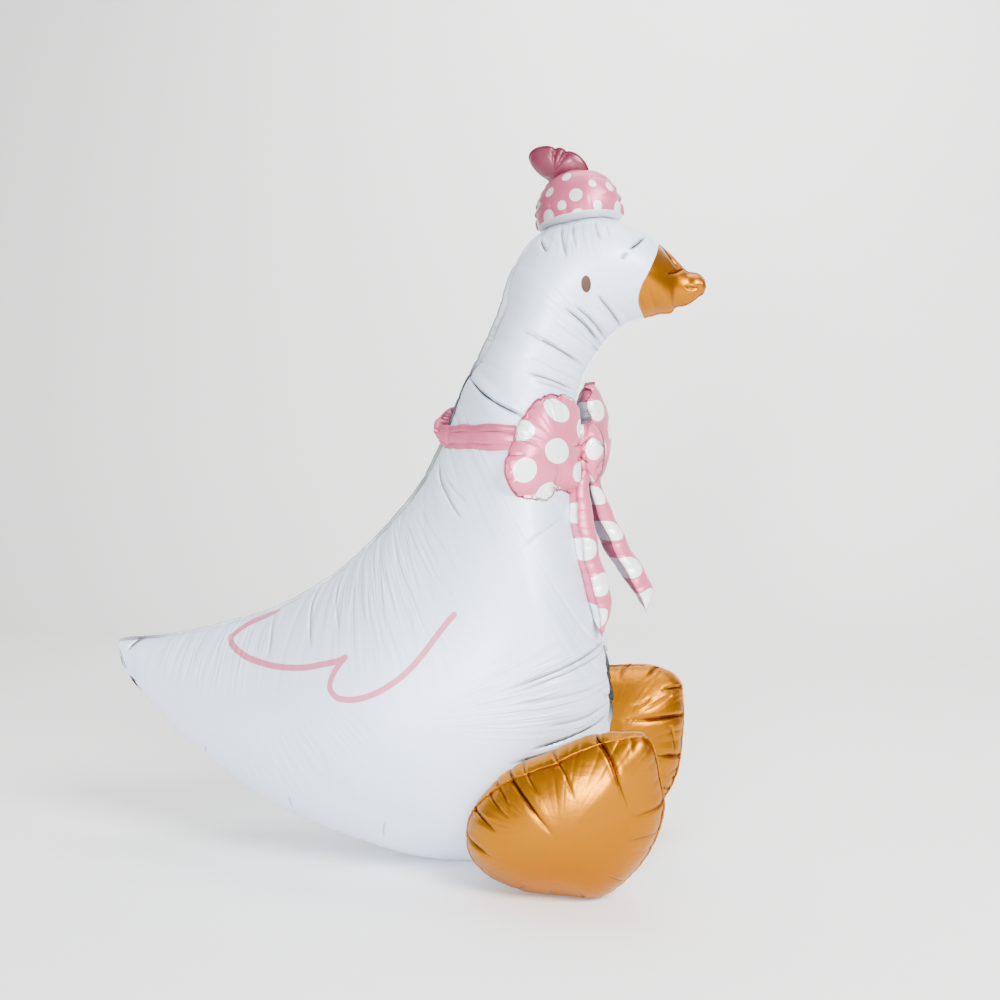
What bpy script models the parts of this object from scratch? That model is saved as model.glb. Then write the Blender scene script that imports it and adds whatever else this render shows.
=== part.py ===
"""A duck made of inflated foil: body, two feet, neck bow and hat.

Units are metres and +Z is up.  The beak points along +X and the duck's left side is +Y.
The origin is the middle of the flat patch that the belly rests on.
"""
import math

import bmesh
import bpy
import numpy as np

# Driving dimensions.
CROWN_HEIGHT = 0.724        # floor to the top of the head
BODY_THICKNESS = 0.280      # widest part of the belly, side to side
BODY_RINGS = 58
RING_POINTS = 28
SEAM_PINCH = 0.66           # 0.5 gives an oval section, 1 gives a lens with sharp seams
NAPE_FOLD_DEPTH = 0.16      # share of the local thickness that the fold behind the neck takes away
FIT_GAP = 0.0004            # clearance between a piece and the body that it is taped to

FOOT_LENGTH = 0.205
FOOT_THICKNESS = 0.092
FOOT_LEAN = math.radians(12.0)      # the upper edge of a foot leans away from the body
FOOT_PRESS = 0.0035         # how much of a foot's lower edge is pressed flat on the floor
FOOT_PUCKER_DEPTH = 0.0045
PUCKER_HALF_ANGLE = 0.16    # half of a pucker's width, seen from the middle of its pillow, in radians

BOW_LOBE_HEIGHT = 0.120
BOW_LOBE_LENGTH = 0.120
BOW_LOBE_THICKNESS = 0.046
BOW_SWEEP = {"right": math.radians(54.0), "left": math.radians(88.0)}   # each lobe's turn off straight back
BOW_LOBE_REACH = 0.014      # knot centre to a lobe's inner edge
BOW_LOBE_LIFT = 0.013       # a lobe's middle above the knot's
BOW_ROLL = 0.021            # the left lobe sits this much higher than the right one
BOW_STAND_OFF = 0.016               # knot centre ahead of the breast
BOW_PUCKER_DEPTH = 0.003
KNOT_DROP = 0.006           # knot centre below the bow's level
KNOT_WIDTH = 0.052
KNOT_HEIGHT = 0.074
KNOT_THICKNESS = 0.040
TAIL_LENGTH = 0.199
TAIL_WIDTH = 0.042
TAIL_THICKNESS = 0.024
TAIL_NOTCH = 0.020          # depth of the notch in a tail's end
STRAP_HEIGHT = 0.029
STRAP_PROUD = 0.0035        # how far the strap stands out from the neck
STRAP_SUNK = 0.006          # depth of the strap's inner face before the neck is cut out of it
STRAP_TIP = 0.007           # the strap's fold stands out behind the nape
STRAP_TIP_SPREAD = 0.42     # half of the fold's width around the neck, in radians

HAT_RADIUS = 0.0495
HAT_HEIGHT = 0.056
HAT_TILT = math.radians(7.5)        # the back of the brim is the low side
HAT_SINK = 0.0085                   # how far the crown of the head reaches into the hat
HAT_SETBACK = 0.010                 # hat centre behind the highest point of the head
HAT_ROUNDNESS = 2.2                 # 2 is an ellipse, more is squarer
HAT_BRIM_SHARE = 0.955              # the brim's radius as a share of the dome's
TOPKNOT_LENGTH = 0.074
TOPKNOT_WIDTH = 0.050
TOPKNOT_THICKNESS = 0.026
TOPKNOT_LIFT = 0.008                # its middle above the dome's top
TOPKNOT_SETBACK = 0.012             # and behind the dome's middle

# The body's pattern, drawn 724 units tall.  Each row is a ring from the back seam to the belly seam:
# back x, back z, belly x, belly z, half thickness in percent of the belly's, and where along
# the ring, from the back seam, the widest place lies.
PATTERN_HEIGHT = 724.0
BODY_RING_TABLE = [
    (-404, 237, -405, 226, 2, 0.50),
    (-390, 240, -395, 198, 7, 0.50),
    (-342, 245, -362, 161, 20, 0.50),
    (-275, 259, -305, 111, 39, 0.50),
    (-200, 282, -225, 60, 62, 0.51),
    (-125, 326, -125, 20, 85, 0.52),
    (-68, 379, -20, -4, 98, 0.53),
    (-30, 425, 75, 6, 100, 0.56),
    (-8, 466, 152, 70, 96, 0.59),
    (6, 500, 190, 155, 85, 0.61),
    (16, 525, 187, 230, 73, 0.60),
    (23, 541, 165, 340, 60, 0.57),
    (30, 554, 148, 450, 50, 0.53),
    (43, 578, 155, 528, 43, 0.50),
    (62, 622, 176, 570, 44, 0.50),
    (78, 668, 198, 594, 47, 0.50),
    (112, 708, 217, 604, 48, 0.50),
    (165, 724, 232, 607, 44, 0.50),
    (213, 709, 245, 610, 35, 0.50),
    (245, 685, 256, 611, 24, 0.50),
    (266, 664, 262, 617, 16, 0.50),
    (275, 655, 273, 618, 12, 0.50),
    (288, 647, 283, 625, 8, 0.50),
    (295, 639, 294, 632, 3, 0.50),
]
NAPE_FOLD_RING = 12.2       # place of the fold in the table, counted in rows
NAPE_FOLD_WIDTH = 0.28

# Foot outlines, drawn on a pattern 205 units long, in the foot's own plane: forward, up.
FOOT_PATTERN_LENGTH = 205.0
RIGHT_FOOT_OUTLINE = [
    (-106, -44), (-99, 0), (-64, 42), (-20, 66), (18, 85), (62, 92), (84, 86), (93, 50), (97, 6),
    (78, -45), (38, -88), (-3, -93), (-45, -90), (-86, -74),
]
RIGHT_FOOT_PUCKERS = [196, 178, 146, 101, 78, 47, 12, 330]
LEFT_FOOT_OUTLINE = [
    (-30, 98), (12, 107), (58, 107), (88, 92), (94, 62), (93, 20), (85, -26), (62, -62),
    (20, -92), (-25, -102), (-62, -84), (-82, -30), (-74, 42),
]
LEFT_FOOT_PUCKERS = [40, 22, 357, 318, 275, 236, 200, 160, 125, 88]
FOOT_FORWARD = {"right": 0.2141, "left": 0.2417}    # foot centre ahead of the origin, in crown heights
FOOT_SINK = {"right": 0.018, "left": 0.012}         # how deep a foot is pressed against the belly

# Bow lobe outline, on a pattern 120 units tall: outward from the knot, up.
LOBE_OUTLINE = [
    (-58, -8), (-57, 34), (-52, 53), (-30, 62), (3, 57), (24, 42), (39, 25), (46, 4), (58, -18),
    (56, -34), (40, -52), (14, -61), (-6, -51), (-20, -47), (-54, -48),
]
LOBE_PATTERN_HEIGHT = 120.0
LOBE_PUCKERS = [112, 52, 20, 338, 286, 262]

# Tail routes from the knot's middle: forward, left and up, in tail lengths.
TAIL_ROUTE = {
    "right": [(-0.05, -0.10, -0.03), (-0.03, -0.15, -0.39), (0.035, -0.16, -0.68), (0.11, -0.165, -1.0)],
    "left": [(-0.06, 0.09, -0.03), (0.06, 0.15, -0.36), (0.19, 0.18, -0.62), (0.33, 0.20, -0.90)],
}
TAIL_TURN = {"right": math.radians(72.0), "left": math.radians(66.0)}   # bearing of a tail's width

BOW_LEVEL = 0.640           # height of the bow's middle, in crown heights
STRAP_LEVEL = 0.652         # height of the strap's middle
STRAP_RISE = 0.024          # the strap climbs behind the left side of the nape,
STRAP_RISE_BEARING = 2.856  # highest at this bearing from straight ahead, in radians
STRAP_RISE_SPREAD = 0.25
NAPE_RISE = 0.008           # and the fold behind the nape sits a little high


def clear_scene():
    """Remove every object that the file starts with."""
    for thing in list(bpy.data.objects):
        bpy.data.objects.remove(thing, do_unlink=True)


def foil(name, colour, roughness, metallic):
    """A foil finish: one colour, how dull it is and how metallic."""
    material = bpy.data.materials.new(name)
    material.use_nodes = True
    shader = material.node_tree.nodes["Principled BSDF"]
    shader.inputs["Base Color"].default_value = (*colour, 1.0)
    shader.inputs["Roughness"].default_value = roughness
    shader.inputs["Metallic"].default_value = metallic
    material.diffuse_color = (*colour, 1.0)
    return material


def solid(name, points, faces, material=None, cutter=False):
    """A closed mesh object with its faces turned outwards and its round sides shaded smooth."""
    mesh = bpy.data.meshes.new(name)
    mesh.from_pydata([tuple(point) for point in points], [], faces)
    shape = bmesh.new()
    shape.from_mesh(mesh)
    bmesh.ops.recalc_face_normals(shape, faces=shape.faces)
    shape.to_mesh(mesh)
    shape.free()
    mesh.shade_smooth()
    mesh.set_sharp_from_angle(angle=math.radians(50.0))
    thing = bpy.data.objects.new(name, mesh)
    bpy.context.collection.objects.link(thing)
    if material:
        mesh.materials.append(material)
    if cutter:
        thing.hide_render = True
        thing.display_type = "WIRE"
    return thing


def combine(thing, other, operation, crossing=False):
    """Join another closed mesh to a piece, or cut it away; crossing says that a mesh meets itself."""
    modifier = thing.modifiers.new(operation.title() + " " + other.name, "BOOLEAN")
    modifier.operation = operation
    modifier.solver = "EXACT"
    modifier.use_self = crossing
    modifier.object = other


def level_off(thing, height=0.0):
    """Cut a piece flat at a height and close the cut."""
    shape = bmesh.new()
    shape.from_mesh(thing.data)
    everything = shape.verts[:] + shape.edges[:] + shape.faces[:]
    cut = bmesh.ops.bisect_plane(
        shape, geom=everything, plane_co=(0, 0, height), plane_no=(0, 0, 1), clear_inner=True)
    rim = [item for item in cut["geom_cut"] if isinstance(item, bmesh.types.BMEdge)]
    bmesh.ops.contextual_create(shape, geom=rim)
    bmesh.ops.recalc_face_normals(shape, faces=shape.faces)
    shape.to_mesh(thing.data)
    shape.free()


def through(rows, places, closed=False):
    """Catmull-Rom curve: read smooth values between the rows of a table.

    Each value is a cubic of the two rows beside it and of the rows beyond them.
    """
    rows = np.asarray(rows, float)
    count = len(rows)
    last = count if closed else count - 1
    start = np.clip(np.floor(places).astype(int), 0, last - 1)
    part = (places - start)[:, None]

    def row(index):
        return rows[index % count] if closed else rows[np.clip(index, 0, count - 1)]

    before, here, there, after = row(start - 1), row(start), row(start + 1), row(start + 2)
    return 0.5 * (2 * here + (there - before) * part
                  + (2 * before - 5 * here + 4 * there - after) * part ** 2
                  + (3 * here - before - 3 * there + after) * part ** 3)


def tube_faces(rings, around, capped=True):
    """Triangles of a grid of rings that is closed around, with a cap at each end."""
    faces = []
    for ring in range(rings - 1):
        for step in range(around):
            corner = ring * around + step
            beside = ring * around + (step + 1) % around
            faces.append((corner, beside, beside + around))
            faces.append((corner, beside + around, corner + around))
    if capped:
        faces.append(tuple(range(around)))
        faces.append(tuple(range((rings - 1) * around, rings * around)))
    return faces


def body_points(rings, around, grow=0.0):
    """The body's surface: one pinched oval ring for each place between tail and beak.

    Along a ring, t runs from the back seam (0) to the belly seam (1) and back on the other
    side.  The half thickness is B * (t / w) ** a * ((1 - t) / (1 - w)) ** b, where w is the
    widest place and a, b share the pinch so that the top of the curve lies at w.
    """
    scale = CROWN_HEIGHT / PATTERN_HEIGHT
    places = np.linspace(0, len(BODY_RING_TABLE) - 1, rings)
    table = through(BODY_RING_TABLE, places)
    back = table[:, 0:2] * scale
    belly = table[:, 2:4] * scale
    half = np.maximum(table[:, 4:5], 1.0) / 100 * BODY_THICKNESS / 2
    widest = table[:, 5:6]
    angle = 2 * math.pi * np.arange(around)[None, :] / around
    t = (1 - np.cos(angle)) / 2
    power_back = 2 * SEAM_PINCH * widest
    power_belly = 2 * SEAM_PINCH * (1 - widest)
    swell = (t / widest) ** power_back * ((1 - t) / (1 - widest)) ** power_belly
    away = np.exp(-((places[:, None] - NAPE_FOLD_RING) / NAPE_FOLD_WIDTH) ** 2)
    fold = 1 - NAPE_FOLD_DEPTH * away * np.clip(1 - t / 0.55, 0, 1)
    side = np.sign(np.round(np.sin(angle), 9))
    points = np.empty((rings, around, 3))
    points[..., 0] = back[:, 0:1] + (belly[:, 0:1] - back[:, 0:1]) * t
    points[..., 1] = -side * half * swell * fold
    points[..., 2] = back[:, 1:2] + (belly[:, 1:2] - back[:, 1:2]) * t
    if grow:
        normals = np.cross(np.gradient(points, axis=0), np.roll(points, -1, 1) - np.roll(points, 1, 1))
        size = np.linalg.norm(normals, axis=2, keepdims=True)
        points = points - grow * normals / np.maximum(size, 1e-12)
    return points


def make_body(name, material=None, grow=0.0):
    """The white foil body with its neck, head and beak, flat where it rests."""
    points = body_points(BODY_RINGS, RING_POINTS, grow)
    faces = tube_faces(BODY_RINGS, RING_POINTS)
    body = solid(name, points.reshape(-1, 3), faces, material, cutter=grow > 0)
    if not grow:
        level_off(body)
    return body


def body_outline_at(height):
    """Where a level plane meets the body: points around it as an angle and a distance."""
    points = body_points(4 * BODY_RINGS, 2 * RING_POINTS)
    below = points[:-1][:, :, 2] - height
    above = points[1:][:, :, 2] - height
    hits = [crossings(points[:-1], points[1:], below, above)]
    beside = np.roll(points, -1, 1)
    hits.append(crossings(points, beside, points[..., 2] - height, beside[..., 2] - height))
    return np.concatenate(hits)


def crossings(first, second, level_first, level_second):
    """Points where the lines between two grids pass level zero."""
    crosses = level_first * level_second < 0
    start, end = first[crosses], second[crosses]
    share = (level_first[crosses] / (level_first[crosses] - level_second[crosses]))[:, None]
    return start + (end - start) * share


def neck_section(height, angles):
    """Centre and radii of the neck's level section, for angles counted from straight ahead."""
    ring = body_outline_at(height)
    centre = np.array([(ring[:, 0].min() + ring[:, 0].max()) / 2, 0.0])
    offset = ring[:, :2] - centre
    bearing = np.arctan2(offset[:, 1], offset[:, 0])
    order = np.argsort(bearing)
    radii = np.interp(angles, bearing[order], np.hypot(*offset.T)[order], period=2 * math.pi)
    return centre, radii


def pucker(angles, places, width):
    """Sharp valleys at some places around a rim: 1 in a valley's bottom, falling to 0 beside it."""
    gap = np.abs((angles[:, None] - np.radians(places)[None, :] + math.pi) % (2 * math.pi) - math.pi)
    return np.clip(1 - gap / width, 0, 1).max(axis=1)


def pillow(outline, thickness, origin, across, up, around, rows, puckers=(), depth=0.0):
    """Points and faces of two foil panels welded along an outline and blown up.

    A point at share r of the way from the middle to the rim stands
    thickness / 2 * (1 - r ** 2) ** 0.6 off the seam's plane, less the puckers near the rim.
    """
    across = np.asarray(across, float) / np.linalg.norm(across)
    up = np.asarray(up, float) / np.linalg.norm(up)
    normal = np.cross(across, up)
    rim = through(outline, np.linspace(0, len(outline), around, endpoint=False), closed=True)
    angles = np.arctan2(rim[:, 1], rim[:, 0])
    valley = pucker(angles, puckers, PUCKER_HALF_ANGLE) if len(puckers) else np.zeros(around)
    rim = rim * (1 - valley * depth / np.hypot(rim[:, 0], rim[:, 1]))[:, None]
    share = np.sin(np.linspace(math.pi / 2, 0, rows + 1))[:-1]
    flat = share[:, None, None] * rim[None]
    rise = thickness / 2 * (1 - share ** 2) ** 0.6
    rise = rise[:, None] - depth * valley[None] * (share ** 3 * (share < 1))[:, None]
    front = origin + flat[..., :1] * across + flat[..., 1:] * up + rise[..., None] * normal
    rear = origin + flat[..., :1] * across + flat[..., 1:] * up - rise[..., None] * normal
    points = np.concatenate([front.reshape(-1, 3), rear[1:].reshape(-1, 3)])
    points = np.concatenate([points, [origin + normal * thickness / 2], [origin - normal * thickness / 2]])
    front_pole = len(points) - 2
    rear_pole = len(points) - 1

    def place(panel, row, step):
        step = step % around
        if panel == 0 or row == 0:
            return row * around + step
        return (rows + row - 1) * around + step

    faces = []
    for panel, pole in ((0, front_pole), (1, rear_pole)):
        for step in range(around):
            for row in range(rows - 1):
                faces.append((place(panel, row, step), place(panel, row, step + 1),
                              place(panel, row + 1, step + 1), place(panel, row + 1, step)))
            faces.append((place(panel, rows - 1, step), place(panel, rows - 1, step + 1), pole))
    return points, faces


def belly_side(places):
    """The body's half thickness at points of the side view, from the nearest point of its surface.

    Points that lie beside the body's outline get less than nothing.
    """
    surface = body_points(4 * BODY_RINGS, 2 * RING_POINTS).reshape(-1, 3)
    gap = np.hypot(places[:, None, 0] - surface[None, :, 0], places[:, None, 1] - surface[None, :, 2])
    nearest = gap.argmin(axis=1)
    return np.where(gap.min(axis=1) < BODY_THICKNESS / 40, np.abs(surface[nearest, 1]), -BODY_THICKNESS)


def make_foot(side, clearance, material):
    """One gold foot: a puckered pillow that stands on its edge and is pressed to the belly.

    It is moved sideways until its deepest point lies the sink inside the body.
    """
    right = side == "right"
    out = -1.0 if right else 1.0
    scale = FOOT_LENGTH / FOOT_PATTERN_LENGTH
    outline = np.array(RIGHT_FOOT_OUTLINE if right else LEFT_FOOT_OUTLINE) * scale
    puckers = RIGHT_FOOT_PUCKERS if right else LEFT_FOOT_PUCKERS
    drop = -outline[:, 1].min() - FOOT_PRESS
    up = np.array([0.0, out * math.sin(FOOT_LEAN), math.cos(FOOT_LEAN)])
    floor_point = np.array([FOOT_FORWARD[side] * CROWN_HEIGHT, 0.0, 0.0])
    points, faces = pillow(outline, FOOT_THICKNESS, floor_point + up * drop, (1, 0, 0), up,
                           around=44, rows=5, puckers=puckers, depth=FOOT_PUCKER_DEPTH)
    contact = belly_side(points[:, [0, 2]]) - out * points[:, 1]
    points[:, 1] += out * (contact.max() - FOOT_SINK[side])
    foot = solid(side + "_foot", points, faces, material)
    level_off(foot)
    combine(foot, clearance, "DIFFERENCE")
    return foot


def make_lobe(side, knot):
    """One lobe of the bow, swept back beside the breast."""
    out = -1.0 if side == "right" else 1.0
    outward = np.array([-math.cos(BOW_SWEEP[side]), out * math.sin(BOW_SWEEP[side]), 0.0])
    stretch = np.array([BOW_LOBE_LENGTH, BOW_LOBE_HEIGHT]) / LOBE_PATTERN_HEIGHT
    outline = np.array(LOBE_OUTLINE) * stretch
    reach = -outline[:, 0].min() + BOW_LOBE_REACH
    centre = knot + outward * reach + np.array([0.0, 0.0, BOW_LOBE_LIFT + out * BOW_ROLL / 2])
    points, faces = pillow(outline, BOW_LOBE_THICKNESS, centre, outward, (0, 0, 1),
                           around=34, rows=4, puckers=LOBE_PUCKERS, depth=BOW_PUCKER_DEPTH)
    return solid("bow_lobe_" + side, points, faces, cutter=True)


def make_tail(side, knot):
    """One tail of the bow: a flattened tube along a curve, with a notched end.

    A ring's point at angle v lies cos v across the tail and |sin v| ** 1.2 off its plane, and
    the tail's end is shorter in its middle than at its edges.
    """
    rings = 13
    around = 14
    route = np.array(TAIL_ROUTE[side]) * TAIL_LENGTH
    turn = TAIL_TURN[side]
    share = np.linspace(0, 1, rings)
    middle = knot + through(route, share * (len(route) - 1))
    across = np.array([math.cos(turn), math.sin(turn), 0.0])
    normal = np.array([math.sin(turn), -math.cos(turn), 0.0])
    half = TAIL_WIDTH / 2 * np.interp(share, [0, 0.3, 0.8, 1], [0.55, 0.86, 1.0, 0.86])
    thick = TAIL_THICKNESS / 2 * np.interp(share, [0, 0.25, 0.75, 0.93, 1], [0.7, 1.0, 0.9, 0.5, 0.03])
    angle = 2 * math.pi * np.arange(around) / around
    reach = np.cos(angle)
    bulge = np.sign(np.round(np.sin(angle), 9)) * np.abs(np.sin(angle)) ** 1.2
    points = (middle[:, None] + (half[:, None] * reach)[..., None] * across
              + (thick[:, None] * bulge)[..., None] * normal)
    notch = TAIL_NOTCH * (1 - np.abs(reach)) * share[:, None] ** 3
    points[..., 2] += notch
    return solid("bow_tail_" + side, points.reshape(-1, 3), tube_faces(rings, around), cutter=True)


def make_strap():
    """The strap: a band around the neck that is folded to a tip behind the nape.

    For each bearing it takes the neck's own radius, and its upright section is an eight-sided
    rounded bar.
    """
    steps = 44
    level = STRAP_LEVEL * CROWN_HEIGHT
    angles = np.linspace(-math.pi, math.pi, steps, endpoint=False)
    centre, radii = neck_section(level, angles)
    behind = np.abs(np.abs(angles) - math.pi)
    fold = np.clip(1 - behind / STRAP_TIP_SPREAD, 0, 1)
    tip = STRAP_TIP * fold
    climb = STRAP_RISE * np.exp(-((angles - STRAP_RISE_BEARING) / STRAP_RISE_SPREAD) ** 2)
    rise = climb + NAPE_RISE * fold
    half = STRAP_HEIGHT / 2 * (1 - 0.45 * fold ** 2)
    section = [(-1, -0.80), (-1, 0.80), (-0.4, 1), (0.3, 1), (1, 0.62), (1, -0.62), (0.3, -1), (-0.4, -1)]
    depth, level_share = np.array(section).T
    middle = radii + (STRAP_PROUD - STRAP_SUNK) / 2 + tip
    reach = middle[:, None] + depth[None, :] * (STRAP_PROUD + STRAP_SUNK) / 2
    points = np.empty((steps, len(section), 3))
    points[..., 0] = centre[0] + reach * np.cos(angles)[:, None]
    points[..., 1] = reach * np.sin(angles)[:, None]
    points[..., 2] = level + rise[:, None] + half[:, None] * level_share[None, :]
    faces = tube_faces(steps, len(section), capped=False)
    last = (steps - 1) * len(section)
    for step in range(len(section)):
        beside = (step + 1) % len(section)
        faces.append((last + step, last + beside, beside, step))
    return solid("bow_strap", points.reshape(-1, 3), faces, cutter=True)


def make_bow(clearance, material):
    """The neck bow: two lobes, a knot, two tails and the strap, all one inflated piece."""
    level = BOW_LEVEL * CROWN_HEIGHT
    centre, front = neck_section(level, np.array([0.0]))
    knot_place = np.array([centre[0] + front[0] + BOW_STAND_OFF, 0.0, level - KNOT_DROP])
    angle = np.radians(np.arange(0, 360, 30))
    knot_outline = np.stack([KNOT_WIDTH / 2 * np.cos(angle), KNOT_HEIGHT / 2 * np.sin(angle)], axis=1)
    points, faces = pillow(knot_outline, KNOT_THICKNESS, knot_place, (0, 1, 0), (0, 0, 1),
                           around=24, rows=4, puckers=[90, 270], depth=BOW_PUCKER_DEPTH)
    bow = solid("neck_bow", points, faces, material)
    for side in ("right", "left"):
        combine(bow, make_lobe(side, knot_place), "UNION")
        combine(bow, make_tail(side, knot_place), "UNION")
    combine(bow, make_strap(), "UNION")
    combine(bow, clearance, "DIFFERENCE", crossing=True)
    return bow


def make_hat(clearance, material):
    """The hat: a blown-up dome on the crown of the head with a leaf-shaped knot on top.

    The dome's wall follows (r / R) ** n + (h / H) ** n = 1 above a slightly narrower brim.
    """
    around = 30
    crown_ring = through(BODY_RING_TABLE, np.linspace(0, len(BODY_RING_TABLE) - 1, 400))
    scale = CROWN_HEIGHT / PATTERN_HEIGHT
    top = crown_ring[np.argmax(crown_ring[:, 1])] * scale
    seat = np.array([top[0] - HAT_SETBACK, 0.0, top[1] - HAT_SINK])
    forward = np.array([math.cos(HAT_TILT), 0.0, math.sin(HAT_TILT)])
    upward = np.array([-math.sin(HAT_TILT), 0.0, math.cos(HAT_TILT)])
    height = HAT_HEIGHT * np.sin(np.radians([0, 14, 30, 48, 66, 80]))
    radius = HAT_RADIUS * (1 - (height / HAT_HEIGHT) ** HAT_ROUNDNESS) ** (1 / HAT_ROUNDNESS)
    radius[0] *= HAT_BRIM_SHARE
    angle = 2 * math.pi * np.arange(around) / around
    points = (seat + height[:, None, None] * upward
              + (radius[:, None] * np.cos(angle))[..., None] * forward
              + (radius[:, None] * np.sin(angle))[..., None] * np.array([0.0, 1.0, 0.0]))
    hat = solid("hat", points.reshape(-1, 3), tube_faces(len(height), around), material)
    leaf_angle = np.radians(np.arange(0, 360, 30))
    leaf = np.stack([TOPKNOT_LENGTH / 2 * np.cos(leaf_angle),
                     TOPKNOT_WIDTH / 2 * np.sin(leaf_angle) * (1 + 0.16 * np.cos(leaf_angle))], axis=1)
    leaf_place = seat + upward * (HAT_HEIGHT + TOPKNOT_LIFT) - forward * TOPKNOT_SETBACK
    points, faces = pillow(leaf, TOPKNOT_THICKNESS, leaf_place, (0.92, 0.0, -0.39), (-0.25, 0.72, -0.64),
                           around=24, rows=4, puckers=[62, 118, 242, 298], depth=BOW_PUCKER_DEPTH)
    topknot = solid("hat_topknot", points, faces, cutter=True)
    combine(hat, topknot, "UNION")
    combine(hat, clearance, "DIFFERENCE")
    return hat


clear_scene()
white_foil = foil("white pearl foil", (0.78, 0.82, 0.88), 0.38, 0.15)
gold_foil = foil("gold satin foil", (0.66, 0.28, 0.03), 0.34, 0.75)
pink_foil = foil("pink dotted foil", (0.77, 0.36, 0.46), 0.36, 0.2)
make_body("body", white_foil)
body_clearance = make_body("body_clearance", grow=FIT_GAP)
make_foot("right", body_clearance, gold_foil)
make_foot("left", body_clearance, gold_foil)
make_bow(body_clearance, pink_foil)
make_hat(body_clearance, pink_foil)
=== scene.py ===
import math

import bpy
import numpy as np
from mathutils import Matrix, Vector


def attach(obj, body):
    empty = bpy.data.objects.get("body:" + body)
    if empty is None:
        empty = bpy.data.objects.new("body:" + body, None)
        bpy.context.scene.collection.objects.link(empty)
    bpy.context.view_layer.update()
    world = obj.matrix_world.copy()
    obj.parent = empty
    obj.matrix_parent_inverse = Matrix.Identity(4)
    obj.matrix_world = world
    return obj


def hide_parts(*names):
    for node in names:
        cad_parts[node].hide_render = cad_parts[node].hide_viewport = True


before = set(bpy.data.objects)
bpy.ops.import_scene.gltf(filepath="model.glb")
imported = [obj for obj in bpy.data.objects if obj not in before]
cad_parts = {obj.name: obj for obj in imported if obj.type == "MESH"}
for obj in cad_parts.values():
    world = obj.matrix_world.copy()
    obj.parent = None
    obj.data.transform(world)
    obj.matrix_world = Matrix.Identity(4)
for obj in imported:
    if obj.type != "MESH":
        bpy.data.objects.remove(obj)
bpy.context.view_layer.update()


# The body is one balloon of two white pearl film panels, welded together along the duck's outline
# and blown up.  Neck, head and beak are the same balloon, and the gold, the eye and the wing lines
# are printed on the film.  It stands on its belly, and everything else is taped or tied to it.

# One row for each ring from tail to beak: back x, back z, belly x, belly z (mm), half thickness in
# percent of the widest ring's, place of the widest point, and the weld strip's width at the back.
BODY_RINGS = np.array([
    (-404, 237, -405, 226, 2, 0.50, 3), (-390, 240, -395, 198, 7, 0.50, 4),
    (-342, 245, -362, 161, 20, 0.50, 4), (-275, 259, -305, 111, 39, 0.50, 4),
    (-200, 282, -225, 60, 62, 0.51, 5), (-125, 326, -125, 20, 85, 0.52, 5),
    (-68, 379, -20, -4, 98, 0.53, 6), (-30, 425, 75, 6, 100, 0.56, 6),
    (-8, 466, 152, 70, 96, 0.59, 6), (6, 500, 190, 155, 85, 0.61, 5),
    (16, 525, 187, 230, 73, 0.60, 3), (23, 541, 165, 340, 60, 0.57, 3),
    (30, 554, 148, 450, 50, 0.53, 4), (43, 578, 155, 528, 43, 0.50, 8),
    (62, 622, 176, 570, 44, 0.50, 9), (78, 668, 198, 594, 47, 0.50, 5),
    (112, 708, 217, 604, 48, 0.50, 1.5), (165, 724, 232, 607, 44, 0.50, 1.2),
    (213, 709, 245, 610, 35, 0.50, 1.2), (245, 687, 256, 611, 22, 0.50, 1.2),
    (264, 668, 262, 617, 13, 0.50, 1.2), (273, 658, 273, 619, 9.5, 0.50, 1.2),
    (286, 654, 284, 626, 8.5, 0.50, 1), (295, 645, 294, 633, 4, 0.50, 1),
])
BODY_HALF_THICKNESS = 0.140
SEAM_PINCH = 0.66           # 0.5 would be an oval section, 1 a lens
BELLY_STRIP = 0.0014        # weld strip along belly and throat, which is tucked in
FILM = 0.0003               # half the thickness of the weld strip
# Level and half height of the wide stretch of that strip on the chest that is painted black as shade, and of
# two such stretches at the tail.
CHEST_WELD = (0.198, 0.050)
TAIL_WELDS = ((0.208, 0.0075), (0.184, 0.0065))

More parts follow.
